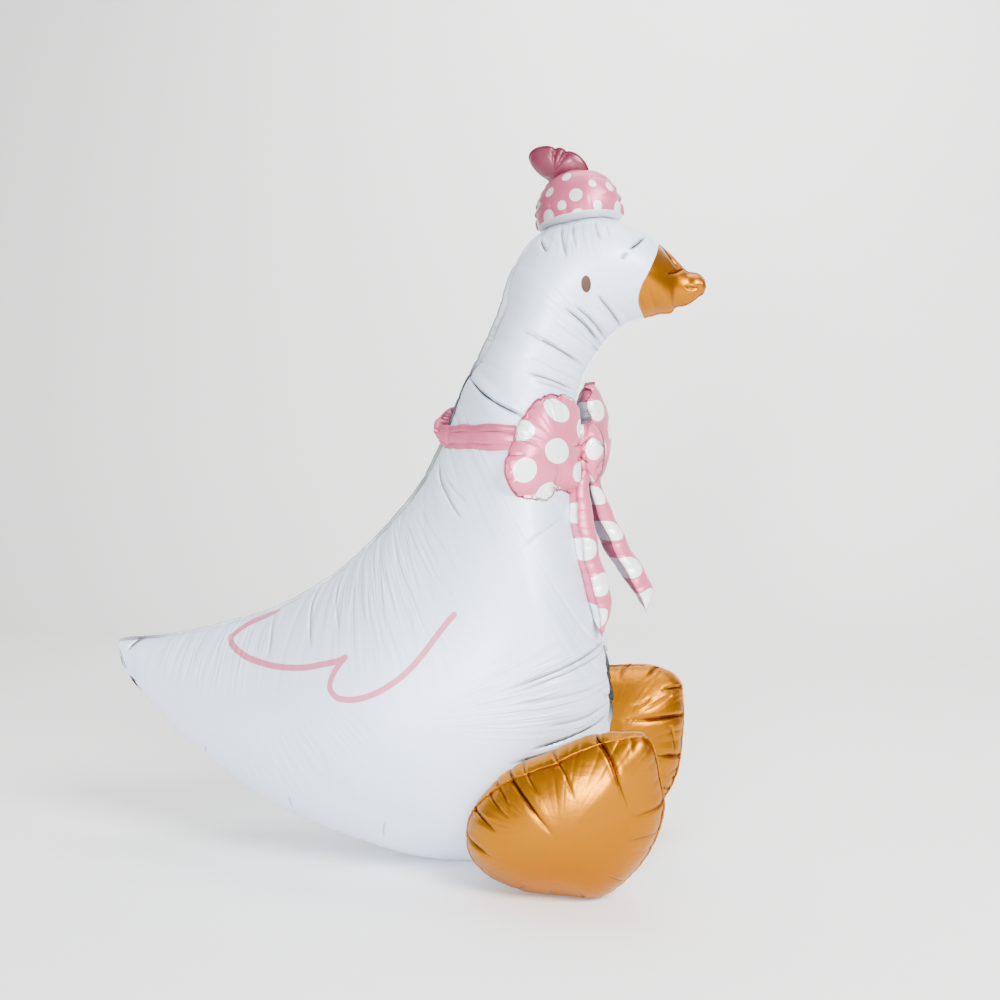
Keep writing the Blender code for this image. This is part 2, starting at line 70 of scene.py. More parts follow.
# Creases in the side view, in mm: three points, half width and depth.
BODY_CREASES = [
    ((28, 545), (62, 515), (110, 491), 3.6, 4.6), ((43, 531), (70, 515), (100, 503), 6.0, -1.5),
    ((146, 609), (166, 593), (180, 575), 3.5, 2.6), ((156, 612), (173, 598), (187, 581), 3.0, 2.2),
    ((105, 584), (134, 569), (163, 552), 3.5, 2.4), ((180, 623), (193, 608), (203, 595), 3.0, 2.4),
    ((98, 588), (112, 580), (124, 571), 3.0, 1.2), ((105, 541), (129, 535), (153, 526), 4.0, 2.4),
    ((112, 533), (132, 528), (150, 521), 3.0, 1.2), ((170, 575), (178, 569), (187, 566), 2.5, 1.4),
    ((-2, 446), (6, 424), (23, 402), 3.0, 1.8), ((5, 424), (24, 400), (38, 384), 3.0, 1.6),
    ((12, 428), (30, 412), (42, 400), 2.5, 0.9), ((-146, 304), (-142, 284), (-126, 243), 3.0, 1.6),
    ((-197, 273), (-187, 250), (-182, 228), 3.0, 1.2), ((-116, 318), (-106, 290), (-92, 262), 3.0, 0.9),
    ((142, 386), (122, 369), (102, 354), 2.0, 0.8), ((186, 250), (158, 236), (97, 213), 3.5, 2.2),
    ((186, 240), (150, 226), (95, 208), 3.0, 1.7), ((188, 208), (150, 203), (100, 197), 3.0, 1.0),
    ((186, 168), (150, 157), (116, 149), 2.6, 3.2), ((164, 150), (132, 143), (96, 134), 3.0, 3.2),
    ((188, 182), (164, 176), (130, 173), 3.0, 1.6),
    ((115, 690), (118, 682), (124, 672), 2.5, 2.6), ((138, 703), (141, 685), (147, 662), 2.5, 1.8),
    ((150, 705), (153, 690), (158, 672), 2.5, 1.2), ((175, 708), (178, 695), (183, 680), 2.5, 1.6),
    ((188, 703), (190, 694), (194, 684), 2.5, 1.0), ((228, 690), (221, 679), (213, 671), 2.4, 3.6),
    ((211, 668), (208, 664), (205, 660), 2.0, 1.8),
    ((242, 690), (254, 673), (266, 655), 1.8, 3.4), ((271, 660), (262, 653), (251, 649), 2.0, 2.6),
    ((286, 636), (279, 636), (272, 638), 2.0, 1.8),
    ((-401, 223), (-396, 213), (-390, 202), 2.8, 3.4), ((-384, 191), (-376, 184), (-366, 178), 2.6, 3.0),
    ((-276, 112), (-273, 118), (-269, 124), 2.0, 1.2), ((-163, 62), (-161, 70), (-158, 80), 2.0, 1.4),
    ((-50, 40), (-47, 52), (-42, 64), 2.0, 1.2), ((-371, 241), (-381, 233), (-387, 225), 2.2, 3.2),
    ((-391, 243), (-387, 239), (-384, 236), 2.0, 2.4),
]

# Bands of fine parallel wrinkles, in mm: middle, half size along and across them, the point that
# they fan out from, and how strong they are.
BODY_WRINKLES = [
    ((-50, 318), (62, 75), (-139, 534), 1.0), ((-255, 232), (36, 80), (-255, 900), 0.55),
    ((142, 208), (62, 42), (-30, 172), 0.9), ((150, 585), (40, 40), (245, 515), 0.8),
    ((138, 532), (34, 12), (260, 470), 0.8), ((150, 688), (24, 46), (150, 800), 0.6),
    ((20, 412), (36, 18), (-60, 520), 0.7), ((40, 590), (30, 45), (-300, 700), 0.35),
    ((-160, 110), (34, 120), (-330, 420), 0.35), ((160, 120), (50, 40), (0, 118), 0.5),
]

# Wing lines in the side view: the upper curl with its scallop, and the lower scallop with its tip.
WING_CURL = [(-194, 277), (-203, 273), (-229, 262), (-243, 251), (-246, 246), (-238, 239), (-217, 230),
             (-190, 225), (-163, 223), (-132, 225), (-109, 230), (-89, 235), (-81, 239)]
WING_TIP = [(-81, 239), (-89, 229), (-95, 217), (-96, 207), (-88, 199), (-75, 197), (-57, 200),
            (-36, 209), (-13, 225), (4, 243), (19, 263), (31, 279), (38, 287)]
WING_LINE_HALF = 3.2         # half width in mm; the curl starts at 1.2
BEAK_EDGE = [(243, 692), (241, 671), (234, 650), (226, 635), (222, 624), (222, 616), (227, 605)]
EYE_MIDDLE = (0.168, 0.6345)
EYE_HALF = (0.0053, 0.0088)
# Painted shade tones of the weld strip along the back, by the share of the way from 400 mm behind to 150 mm
# ahead.
BACK_WELD_SHADE_TONES = [
    (0.0, "#8b8f96"), (0.05, "#6d6b74"), (0.1, "#8c9095"), (0.14, "#b0b9bf"), (0.5, "#a3afb2"),
    (0.66, "#6d7a79"), (0.715, "#59655f"), (0.735, "#23272c"), (0.775, "#2a2f35"), (0.82, "#8a939b"),
    (1.0, "#c5ccd6"),
]
PEARL_METAL, PEARL_ROUGH = 0.26, 0.5
BEAK_METAL, BEAK_ROUGH = 1.0, 0.36


def through(rows, places):
    """Smooth values between the rows of a table: a cubic of the two rows beside and the two beyond."""
    rows = np.asarray(rows, float)
    last = len(rows) - 1
    start = np.clip(np.floor(places).astype(int), 0, last - 1)
    part = (places - start)[:, None]
    before, here, there, after = (rows[np.clip(start + k, 0, last)] for k in (-1, 0, 1, 2))
    return 0.5 * (2 * here + (there - before) * part
                  + (2 * before - 5 * here + 4 * there - after) * part ** 2
                  + (3 * here - before - 3 * there + after) * part ** 3)


def run_length(points):
    """Distance along a row of points, from its first."""
    return np.concatenate([[0.0], np.cumsum(np.linalg.norm(np.diff(points, axis=0), axis=1))])


def beside(x, z, line):
    """Where points lie beside a line: signed distance, distance past its nearer end, share along it."""
    line = through(line, np.linspace(0, len(line) - 1, 6 * len(line)))
    run = run_length(line)
    best = np.full(np.shape(x), np.inf)
    signed, past, share = (np.zeros(np.shape(x)) for _ in range(3))
    for k in range(len(line) - 1):
        step = line[k + 1] - line[k]
        length = np.hypot(*step)
        along = ((x - line[k, 0]) * step[0] + (z - line[k, 1]) * step[1]) / length
        across = ((x - line[k, 0]) * step[1] - (z - line[k, 1]) * step[0]) / length
        held = np.clip(along, 0, length)
        gap = np.hypot(along - held, across)
        nearer = gap < best
        over = np.zeros(np.shape(x))
        if k == 0:
            over = np.maximum(over, -along)
        if k == len(line) - 2:
            over = np.maximum(over, along - length)
        best = np.where(nearer, gap, best)
        past = np.where(nearer, over, past)
        signed = np.where(nearer, np.where(over > 0, across, np.copysign(gap, across)), signed)
        share = np.where(nearer, (run[k] + held) / run[-1], share)
    return signed, past, share


def folded(gap, past, share, width, depth):
    """Height of the film beside a crease: a sharp valley exp(-|d| / w) with a low swelling each side."""
    ends = np.clip(5 * share + 0.3, 0, 1) * np.clip(5 * (1 - share), 0, 1)
    near = np.exp(-(past / width) ** 2) * ends
    return -depth * near * (np.exp(-np.abs(gap) / width) - 0.35 * np.exp(-(gap / (2.6 * width)) ** 2))


def crease_layers(shape):
    """Two blank layers of crease marks: signed distance and distance past the end in mm, and strength."""
    return [[np.full(shape, 40.0), np.zeros(shape), np.zeros(shape)] for _ in range(2)]


def mark_facts(layers):
    """What a mesh keeps of its two layers of crease marks."""
    return {key: np.stack(layer, axis=-1) for key, layer in zip(("crease", "crease_too"), layers)}


def marked(layer, side, signed, over, strength):
    """A layer of crease marks with one more crease in it, where that one is the nearest.

    A mark's strength is gone 7 mm from its crease, so nothing shows where two creases meet.
    """
    gap, past, cut = layer
    reach = np.hypot(signed, over)
    nearer = side & (reach < np.hypot(gap, past))
    strength = strength * np.clip(2.2 - reach / 3.0, 0, 1)
    return [np.where(nearer, signed, gap), np.where(nearer, over, past), np.where(nearer, strength, cut)]


def gathered(run, inward, places, width, reach, depth, loop=None, at_weld=0.4):
    """Film drawn in by puckers across a seam.

    Each pucker is a sharp valley exp(-|d| / w) across the seam's run that fades inward as
    exp(-(q / reach) ** 1.5) and has only a share of its depth at the weld.
    """
    total = np.zeros(np.broadcast(run, inward).shape)
    for place, w, length, deep in zip(places, width, reach, depth):
        gap = np.abs(run - place)
        if loop:
            gap = np.minimum(gap, loop - gap)
        fade = np.exp(-(inward / length) ** 1.5) * (1 - (1 - at_weld) * np.exp(-inward / 0.002))
        total += deep * np.exp(-gap / w) * fade
    return total


def outward_normals(grid):
    """Unit normals of a grid that is closed around its columns, pointing away from its middle."""
    down = np.gradient(grid, axis=0)
    around = (np.roll(grid, -1, axis=1) - np.roll(grid, 1, axis=1)) / 2
    normal = np.cross(down, around)
    size = np.linalg.norm(normal, axis=2, keepdims=True)
    normal = normal / np.maximum(size, 1e-12)
    away = grid - grid.mean(axis=1, keepdims=True)
    return normal * np.sign((normal * away).sum())


def uneven(grid, size, seed):
    """Soft unevenness of blown-up film: a sum of fourteen waves, 60 to 170 mm long, in seeded directions."""
    chance = np.random.default_rng(seed)
    total = np.zeros(grid.shape[:2])
    for _ in range(14):
        heading = chance.normal(size=3)
        heading /= np.linalg.norm(heading)
        total += np.sin(grid @ heading * 2 * np.pi / chance.uniform(0.06, 0.17) + chance.uniform(0, 6.28))
    return size * total / 14 ** 0.5


def skin(name, grid, facts):
    """A closed mesh from a grid whose columns close round and whose end rows each shrink to a point.

    facts holds further grids of values, kept on the mesh's points under their names.
    """
    grid[0], grid[-1] = grid[0].mean(axis=0), grid[-1].mean(axis=0)
    rows, columns = grid.shape[:2]
    corner = 1 + np.arange((rows - 2) * columns).reshape(rows - 2, columns)
    beside_it = np.roll(corner, -1, axis=1)
    tip = (rows - 2) * columns + 1
    quads = np.stack([corner[:-1], beside_it[:-1], beside_it[1:], corner[1:]], axis=-1).reshape(-1, 4)
    first = np.stack([np.zeros(columns, int), beside_it[0], corner[0]], axis=-1)
    last = np.stack([np.full(columns, tip), corner[-1], beside_it[-1]], axis=-1)
    points = np.concatenate([grid[0, :1], grid[1:-1].reshape(-1, 3), grid[-1, :1]])
    a, b, c, d = (points[quads[:, k]] for k in range(4))
    inside_out = (np.cross(c - a, d - b) * (a + b + c + d)).sum() < 0
    turn = slice(None, None, -1) if inside_out else slice(None)
    mesh = bpy.data.meshes.new(name)
    faces = [face[turn] for part in (first, quads, last) for face in part.tolist()]
    mesh.from_pydata(points.tolist(), [], faces)
    for key, values in facts.items():
        flat = values.reshape(rows, columns, -1)
        flat = np.concatenate([flat[0, :1], flat[1:-1].reshape(-1, flat.shape[2]), flat[-1, :1]])
        kind, field = ("FLOAT", "value") if flat.shape[1] == 1 else ("FLOAT_VECTOR", "vector")
        mesh.attributes.new(key, kind, "POINT").data.foreach_set(field, flat.astype(np.float32).ravel())
    mesh.shade_smooth()
    thing = bpy.data.objects.new(name, mesh)
    bpy.context.collection.objects.link(thing)
    return thing


def body_grid(rings, panel, back_columns=5, belly_columns=3):
    """The body's grid of rings, with each point's side view and distances from both welds.

    Between the weld strips t runs from the back (0) to the belly (1), and the half thickness is
    B (t / w) ** a ((1 - t) / (1 - w)) ** b, where a and b share the pinch so that w is widest.
    """
    fine = np.linspace(0, len(BODY_RINGS) - 1, 3000)
    table = through(BODY_RINGS, fine)
    steps = np.maximum(np.linalg.norm(np.diff(table[:, 0:2], axis=0), axis=1),
                       np.linalg.norm(np.diff(table[:, 2:4], axis=0), axis=1))
    spacing = np.concatenate([[0.0], np.cumsum(steps)])
    places = np.interp(np.linspace(0, spacing[-1], rings), spacing, fine)
    table = through(BODY_RINGS, places)
    back, belly = table[:, 0:2] / 1000, table[:, 2:4] / 1000
    runs = back_run, belly_run = run_length(back), run_length(belly)
    chance = np.random.default_rng(41)
    seams = []
    for run, low, high in ((back_run, 0.013, 0.030), (belly_run, 0.010, 0.024)):
        spots = np.cumsum(chance.uniform(low, high, 120))
        spots = spots[spots < run[-1] - 0.004]
        seams.append((spots, chance.uniform(0.0016, 0.0034, len(spots)),
                      chance.uniform(0.010, 0.042, len(spots)), chance.uniform(0.0006, 0.0022, len(spots))))
    span = belly - back
    length = np.hypot(*span.T)
    inwards = span / length[:, None]

    def on_chest():
        return np.exp(-((belly[:, 1] - CHEST_WELD[0]) / CHEST_WELD[1]) ** 6) * (belly[:, 0] > 0.1)

    for (spots, width, _, depth), edge, run, sense in zip(seams, (back, belly), runs, (1, -1)):
        pull = (depth * 0.75 * np.exp(-np.abs(run[:, None] - spots) / (1.3 * width))).sum(axis=1)
        if edge is belly:
            pull = pull * (1 + 3.5 * on_chest())
        edge += sense * inwards * np.minimum(pull, 0.1 * length)[:, None]
    span = belly - back
    length = np.hypot(*span.T)
    strip_back = np.minimum(table[:, 6] / 1000 / length, 0.22)[:, None]
    # The belly's strip is wider on the chest above the feet and at the tail, and it is painted there as
    # standing in shadow.
    chest = on_chest()
    tip = sum(np.exp(-((belly[:, 1] - level) / half) ** 4) for level, half in TAIL_WELDS)
    shaded = np.maximum(chest, tip * (belly[:, 0] < -0.35))
    strip_belly = BELLY_STRIP + 0.0075 * chest + 0.004 * (shaded - chest)
    strip_belly = np.minimum(strip_belly / length, 0.14)[:, None]
    u = np.linspace(0, 1, panel + 1)
    t = 0.6 * (1 - np.cos(np.pi * u)) / 2 + 0.4 * u
    middle = strip_back + (1 - strip_back - strip_belly) * t[None, :]
    place = np.concatenate([strip_back * np.linspace(0, 1, back_columns + 1)[None, :-1], middle,
                            1 - strip_belly * np.linspace(1, 0, belly_columns + 1)[None, 1:]], axis=1)
    t = np.concatenate([np.zeros(back_columns), t, np.ones(belly_columns)])[None, :]
    widest = table[:, 5:6]
    a, b = 2 * SEAM_PINCH * widest, 2 * SEAM_PINCH * (1 - widest)
    swell = (t / widest) ** a * ((1 - t) / (1 - widest)) ** b
    half = np.maximum(table[:, 4:5], 1.0) / 100 * BODY_HALF_THICKNESS
    nape = 1 - 0.16 * np.exp(-((places[:, None] - 12.2) / 0.28) ** 2) * np.clip(1 - t / 0.55, 0, 1)
    y = half * swell * nape + FILM
    weld = np.maximum((strip_back - place) * length[:, None], (place - 1 + strip_belly) * length[:, None])
    weld = np.minimum(weld, 0.004) * 1000
    in_back = np.maximum(place - strip_back, 0) * length[:, None]
    in_belly = np.maximum(1 - strip_belly - place, 0) * length[:, None]
    x = back[:, 0:1] + span[:, 0:1] * place
    z = back[:, 1:2] + span[:, 1:2] * place
    wave = 0.0012 * np.sin(run_length(back)[:, None] / 0.011) * np.clip(weld / 2, 0, 1) * (place < 0.5)
    halves = []
    for stretch in (1.0, 0.8):
        drawn = np.zeros(x.shape)
        for (spots, width, reach, depth), run, inward in zip(seams, runs, (in_back, in_belly)):
            drawn += gathered(run[:, None], inward, spots, width, reach * stretch, depth)
        halves.append(y - np.minimum(drawn, 0.5 * y) * (weld < 0))
    near_y, far_y = wave - halves[0], wave + halves[1]
    near_y[:, 0] = far_y[:, 0] = wave[:, 0]
    near_y[:, -1] = far_y[:, -1] = 0.0

    def both(near_half, far_half):
        return np.concatenate([near_half, far_half[:, -2:0:-1]], axis=1)

    grid = np.stack([both(x, x), both(near_y, far_y), both(z, z)], axis=-1)
    grid[0], grid[-1] = grid[0].mean(axis=0), grid[-1].mean(axis=0)
    # How much painted shade the weld strip gets: 1 along the back, and 0 to 2 on the belly, where 2 is painted
    # black.
    weld_shade = np.where(place > 0.5, 2.0 * shaded[:, None], 1.0)
    return grid, both(weld, weld), both(weld_shade, weld_shade)


def body_skin():
    """The body's mesh: the grid with its creases and soft unevenness, and what the print needs."""
    grid, weld, weld_shade = body_grid(440, 104)
    normals = outward_normals(grid)
    loose = np.clip(-weld / 6, 0, 1)
    height = loose * uneven(grid, 0.0004, 7)
    x, z = grid[..., 0] * 1000, grid[..., 2] * 1000
    near = grid[..., 1] <= 0
    chance = np.random.default_rng(19)
    marks = crease_layers(x.shape)
    for number, (*line, width, depth) in enumerate(BODY_CREASES):
        for side in (near, ~near):
            moved = np.array(line) + (0 if side is near else chance.uniform(-5, 5, 2))
            signed, over, share = beside(x, z, moved)
            height += side * loose * folded(signed, over, share, 1.25 * width, depth / 1000)
            fade = np.clip(4 * share + 0.3, 0, 1) * np.clip(4 * (1 - share), 0, 1) * min(depth / 2.8, 1.2)
            if depth > 0:
                marks[number % 2] = marked(marks[number % 2], side, signed, over, fade)
    across, along, strength, second = (np.zeros(x.shape) for _ in range(4))
    for number, (middle, half, pole, strong) in enumerate(BODY_WRINKLES):
        out = np.array(middle, float) - pole
        far_out = np.hypot(*out)
        heading = out / far_out
        dx, dz = x - pole[0], z - pole[1]
        turned = np.arctan2(dx * heading[1] - dz * heading[0], dx * heading[0] + dz * heading[1])
        over_x, over_z = x - middle[0], z - middle[1]
        lengthwise = over_x * heading[0] + over_z * heading[1]
        crosswise = over_x * heading[1] - over_z * heading[0]
        mask = strong * np.exp(-(lengthwise / half[0]) ** 2 - (crosswise / half[1]) ** 2)
        wins = mask > strength
        across = np.where(wins, turned * far_out + 500 * number, across)
        along = np.where(wins, lengthwise + 300 * number, along)
        second = np.maximum(second, np.minimum(mask, strength))
        strength = np.maximum(mask, strength)
    grid = grid + normals * height[..., None]
    grid[..., 2] = np.maximum(grid[..., 2], 0.0)
    facts = {"weld": weld, "weld_shade": weld_shade, "beak": -beside(x, z, BEAK_EDGE)[0],
             "wrinkle": np.stack([across, along, strength - second], axis=-1), **mark_facts(marks)}
    for key, line, start in (("wing_curl", WING_CURL, 1.2), ("wing_tip", WING_TIP, WING_LINE_HALF)):
        signed, over, share = beside(x, z, line)
        half = WING_LINE_HALF - (WING_LINE_HALF - start) * np.clip(1 - share / 0.07, 0, 1)
        facts[key] = np.stack([signed, over, half], axis=-1)
    return skin("body_film", grid, facts)


def hexed(code):
    """Linear colour of an sRGB hex code."""
    shown = np.array([int(code[k:k + 2], 16) for k in (1, 3, 5)]) / 255
    linear = np.where(shown <= 0.04045, shown / 12.92, ((shown + 0.055) / 1.055) ** 2.4)
    return (*linear.tolist(), 1.0)


def add(tree, kind, inputs=(), take=None, **settings):
    """Add one shader node and give its output: the first live one, unless take names another.

    inputs holds values, sRGB hex codes or other nodes' outputs, by socket or in the sockets' order.
    """
    made = tree.nodes.new("ShaderNode" + kind)
    for key, value in settings.items():
        setattr(made, key, value)
    for socket, value in inputs.items() if isinstance(inputs, dict) else enumerate(inputs):
        if isinstance(value, bpy.types.NodeSocket):
            tree.links.new(value, made.inputs[socket])
        else:
            made.inputs[socket].default_value = hexed(value) if isinstance(value, str) else value
    return made.outputs[take] if take else next(out for out in made.outputs if out.enabled)


def finish(name, **sockets):
    """A new material with one Principled shader: the material, its node tree and the shader."""
    material = bpy.data.materials.new(name)
    material.use_nodes = True
    tree = material.node_tree
    shader = tree.nodes["Principled BSDF"]
    for key, value in sockets.items():
        shader.inputs[key.replace("_", " ").title()].default_value = value
    return material, tree, shader


def line_fact(tree, name):
    """What the points know of a drawn line: the distance from it, and the fact's third value."""
    fact = add(tree, "Attribute", take="Vector", attribute_name=name)
    fact = add(tree, "SeparateXYZ", [fact]).node.outputs
    flat = add(tree, "CombineXYZ", (fact["X"], fact["Y"]))
    return add(tree, "VectorMath", [flat], operation="LENGTH"), fact["Z"]


def crease_lines(tree, fine, narrow, wide):
    """The creases' dark line of painted shade and their wider hollow for the bump, each 1 on the crease and 0
    away from it.
    """
    found = []
    for name in ("crease", "crease_too"):
        far, strength = line_fact(tree, name)
        for low, high in ((fine, narrow), (0.0, wide)):
            part = add(tree, "MapRange", (far, low, high, 1.0, 0.0), interpolation_type="SMOOTHSTEP")
            found.append(add(tree, "Math", (part, strength), operation="MULTIPLY"))
    return [add(tree, "Math", (found[k], found[k + 2]), operation="MAXIMUM") for k in (0, 1)]


def pearl_film():
    """White pearl film: metallised nylon film under white ink.

    It gives a cool white with wide soft highlights.  Creases show as thin grey lines of painted shade
    with a pale edge, and the weld strip is painted in grey, grey-green and black shade tones.  The
    beak's gold is clear lacquer on uncovered metal.
    """
    material, tree, shader = finish("white pearl metallised film", metallic=PEARL_METAL,
                                    roughness=PEARL_ROUGH)
    place = add(tree, "TexCoord", take="Object")
    dark, deep = crease_lines(tree, 0.3, 1.45, 3.4)
    wrinkle, beak, weld_shade, weld = (add(tree, "Attribute", take=kind, attribute_name=key) for key, kind in (
        ("wrinkle", "Vector"), ("beak", "Fac"), ("weld_shade", "Fac"), ("weld", "Fac")))
    wrinkle = add(tree, "SeparateXYZ", [wrinkle]).node.outputs
    # Fine wrinkles lie 6 to 9 mm apart and run 60 to 100 mm.
    across = add(tree, "Math", (wrinkle["X"], 1 / 6.5), operation="MULTIPLY")
    along = add(tree, "Math", (wrinkle["Y"], 1 / 85.0), operation="MULTIPLY")
    ripple = add(tree, "TexNoise", {"Vector": add(tree, "CombineXYZ", (across, along)), "Scale": 1.0,
                                    "Detail": 1.5, "Roughness": 0.4}, noise_dimensions="2D")
    ridge = add(tree, "MapRange", (ripple, 0.42, 0.62, 0.0, 1.0), interpolation_type="SMOOTHSTEP")
    ridge = add(tree, "Math", (ridge, wrinkle["Z"]), operation="MULTIPLY")
    crinkle = add(tree, "TexNoise", {"Vector": place, "Scale": 26.0, "Detail": 3.0, "Roughness": 0.45,
                                     "Distortion": 0.6})
    bump = add(tree, "Bump", {"Strength": 0.35, "Distance": 0.0012, "Height": crinkle})
    bump = add(tree, "Bump", {"Strength": 0.8, "Distance": 0.0016, "Height": ridge, "Normal": bump})
    bump = add(tree, "Bump", {"Strength": 0.9, "Distance": 0.0024, "Height": deep, "Normal": bump},
               invert=True)
    tree.links.new(bump, shader.inputs["Normal"])

    shade = add(tree, "TexNoise", {"Vector": place, "Scale": 5.0, "Detail": 1.0})
    film = add(tree, "Mix", {"Factor": shade, "A": "#cdd9ee", "B": "#d7e2f4"}, data_type="RGBA")
    # Pink ink reaches from the middle of each wing line to its half width.
    for line in ("wing_curl", "wing_tip"):
        over = add(tree, "Math", line_fact(tree, line), operation="SUBTRACT")
        inked = add(tree, "MapRange", (over, -0.25, 0.25, 1.0, 0.0))
        film = add(tree, "Mix", {"Factor": inked, "A": film, "B": "#c9708f"}, data_type="RGBA")
    spot = add(tree, "Mapping", {"Vector": place, "Location": (-EYE_MIDDLE[0], 0, -EYE_MIDDLE[1])})
    spot = add(tree, "VectorMath", (spot, (1 / EYE_HALF[0], 0, 1 / EYE_HALF[1])), operation="MULTIPLY")
    eye = add(tree, "MapRange", (add(tree, "VectorMath", [spot], operation="LENGTH"), 0.95, 1.03, 1.0, 0.0))
    film = add(tree, "Mix", {"Factor": eye, "A": film, "B": "#432717"}, data_type="RGBA")
    beak = add(tree, "MapRange", (beak, -0.3, 0.3, 0.0, 1.0))
    film = add(tree, "Mix", {"Factor": beak, "A": film, "B": "#a86500"}, data_type="RGBA")
    # Creases get a thin line of painted shade: dark grey-blue on the film and dark brown on the beak.
    shadow = add(tree, "Mix", {"Factor": beak, "A": "#2a313c", "B": "#5a2402"}, data_type="RGBA")
    film = add(tree, "Mix", {"Factor": dark, "A": film, "B": shadow}, data_type="RGBA")
    # The weld strip is painted with shade.  Along the back it is black shade above the strap, grey-green
    # shade below it and pale towards the tail.  It is black shade on the chest and at the tail, and dark gold
    # at the beak.
    run = add(tree, "MapRange", (add(tree, "SeparateXYZ", [place]), -0.40, 0.15))
    back_tone = add(tree, "ValToRGB", [run])
    steps = back_tone.node.color_ramp.elements
    for number, (share, code) in enumerate(BACK_WELD_SHADE_TONES):
        stop = steps[number] if number < 2 else steps.new(share)
        stop.position, stop.color = share, hexed(code)
    strip = add(tree, "Mix", {"Factor": weld_shade, "A": "#ccd5e0", "B": back_tone}, data_type="RGBA")
    black = add(tree, "Math", (weld_shade, 1.0), operation="SUBTRACT", use_clamp=True)
    strip = add(tree, "Mix", {"Factor": black, "A": strip, "B": "#0b0d10"}, data_type="RGBA")
    strip = add(tree, "Mix", {"Factor": beak, "A": strip, "B": "#7a3c05"}, data_type="RGBA")
    weld = add(tree, "MapRange", (weld, -0.2, 0.1, 0.0, 1.0))
    film = add(tree, "Mix", {"Factor": weld, "A": film, "B": strip}, data_type="RGBA")
    tree.links.new(film, shader.inputs["Base Color"])
    for socket, *span in (("Metallic", PEARL_METAL, BEAK_METAL), ("Roughness", PEARL_ROUGH, BEAK_ROUGH)):
        tree.links.new(add(tree, "MapRange", (beak, 0.0, 1.0, *span)), shader.inputs[socket])
    return material


body = body_skin()
body.data.materials.append(pearl_film())
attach(body, "root")
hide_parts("body")


# Each foot is a pillow of two gold satin film panels, welded round the rim and blown up.  It
# stands on its edge, pressed flat against the belly, and is taped there.  The puckers of the
# weld run in over the panels as deep creases.

FOOT_HALF_THICKNESS = 0.046
FOOT_LEAN = math.radians(12.0)
WELD_STRIP = 0.0022
FLAT_BELOW = 0.003           # a foot is pressed flat on the floor below this height
TAPE_GAP = 0.0004            # between the body and what is taped or tied to it
# Outline forward and up in the foot's own plane, in mm.
RIGHT_FOOT = [(-106, -44), (-99, 0), (-64, 42), (-20, 66), (18, 85), (62, 92), (84, 86), (93, 50), (97, 6),
              (78, -45), (38, -88), (-3, -93), (-45, -90), (-86, -74)]
LEFT_FOOT = [(-30, 98), (12, 107), (58, 107), (88, 92), (94, 62), (93, 20), (85, -26), (62, -62),
             (20, -92), (-25, -102), (-62, -84), (-82, -30), (-74, 42)]
# How far the weld lies in front of the rim, in degrees of the turn over the rim, by the bearing
# of the place from the foot's middle: the upper weld of the right foot is pulled to the front.
RIGHT_WELD_TURN = [(-60, 0), (20, 0), (42, 4), (58, 16), (75, 24), (95, 27), (115, 24), (130, 24), (148, 20),
                   (168, 14), (185, 2), (200, 0), (300, 0)]
# Creases in the foot's plane, in mm: three points, half width, depth.  The right foot's first ones
# run from panel to panel across the weld.
CROSSING_CREASES = 6
RIGHT_CREASES = [
    ((-67, 50), (-38, 30), (-8, -1), 2.8, 3.8), ((14, 95), (45, 74), (64, 22), 2.8, 4.2),
    ((-18, 70), (1, 58), (12, 35), 2.2, 1.8), ((-100, 4), (-84, 0), (-67, -7), 2.6, 3.0),
    ((-106, -27), (-89, -32), (-72, -37), 2.6, 2.8), ((75, 95), (85, 80), (92, 65), 2.8, 3.4),
    ((-42, 60), (-36, 48), (-22, 36), 2.0, 1.8), ((-85, 30), (-74, 20), (-54, 10), 2.2, 2.2),
    ((64, 92), (66, 84), (68, 76), 2.0, 0.9),
    ((98, 20), (84, 17), (64, 16), 2.0, 1.4), ((92, -12), (78, -10), (60, -10), 2.0, 1.2),
    ((60, -70), (50, -58), (40, -46), 2.2, 1.6), ((18, -96), (16, -82), (12, -66), 2.2, 1.6),
    ((-20, -98), (-18, -84), (-14, -70), 2.2, 1.4), ((-58, -90), (-50, -78), (-40, -66), 2.2, 1.6),
    ((-66, 30), (-60, 26), (-54, 20), 1.8, 1.8),
]
LEFT_CREASES = [
    ((98, 82), (82, 80), (66, 76), 2.6, 3.2), ((98, 48), (56, 41), (18, 39), 3.0, 4.2),
    ((98, -1), (80, -1), (60, -1), 2.6, 3.4), ((30, 112), (19, 98), (14, 86), 2.2, 1.8),
    ((66, 112), (54, 97), (46, 86), 2.2, 2.2), ((78, 32), (82, 14), (81, 2), 2.0, 1.6),
    ((78, 70), (58, 58), (44, 50), 2.4, 1.4), ((94, -14), (82, -18), (74, -26), 1.8, 1.0),
    ((52, 64), (44, 58), (32, 56), 2.0, 1.2), ((80, -42), (64, -36), (44, -28), 2.4, 2.2),
    ((30, -94), (26, -76), (20, -58), 2.4, 2.2), ((-30, -104), (-24, -84), (-16, -64), 2.4, 2.2),
    ((-70, -70), (-54, -58), (-38, -46), 2.4, 2.2), ((-84, 0), (-64, 0), (-42, 2), 2.4, 2.0),
    ((-60, 72), (-46, 58), (-30, 44), 2.4, 2.2), ((-20, 108), (-14, 92), (-8, 76), 2.2, 1.8),
]


def round_trip(outline, count):
    """Smooth closed curve through an outline's points, as evenly spaced points."""
    outline = np.asarray(outline, float)
    laps = np.concatenate([outline[-2:], outline, outline[:3]])
    fine = through(laps, np.linspace(2, len(outline) + 2, 40 * len(outline) + 1))
    run = run_length(fine)
    wanted = np.linspace(0, run[-1], count, endpoint=False)
    return np.stack([np.interp(wanted, run, fine[:, k]) for k in range(2)], axis=1), run[-1]


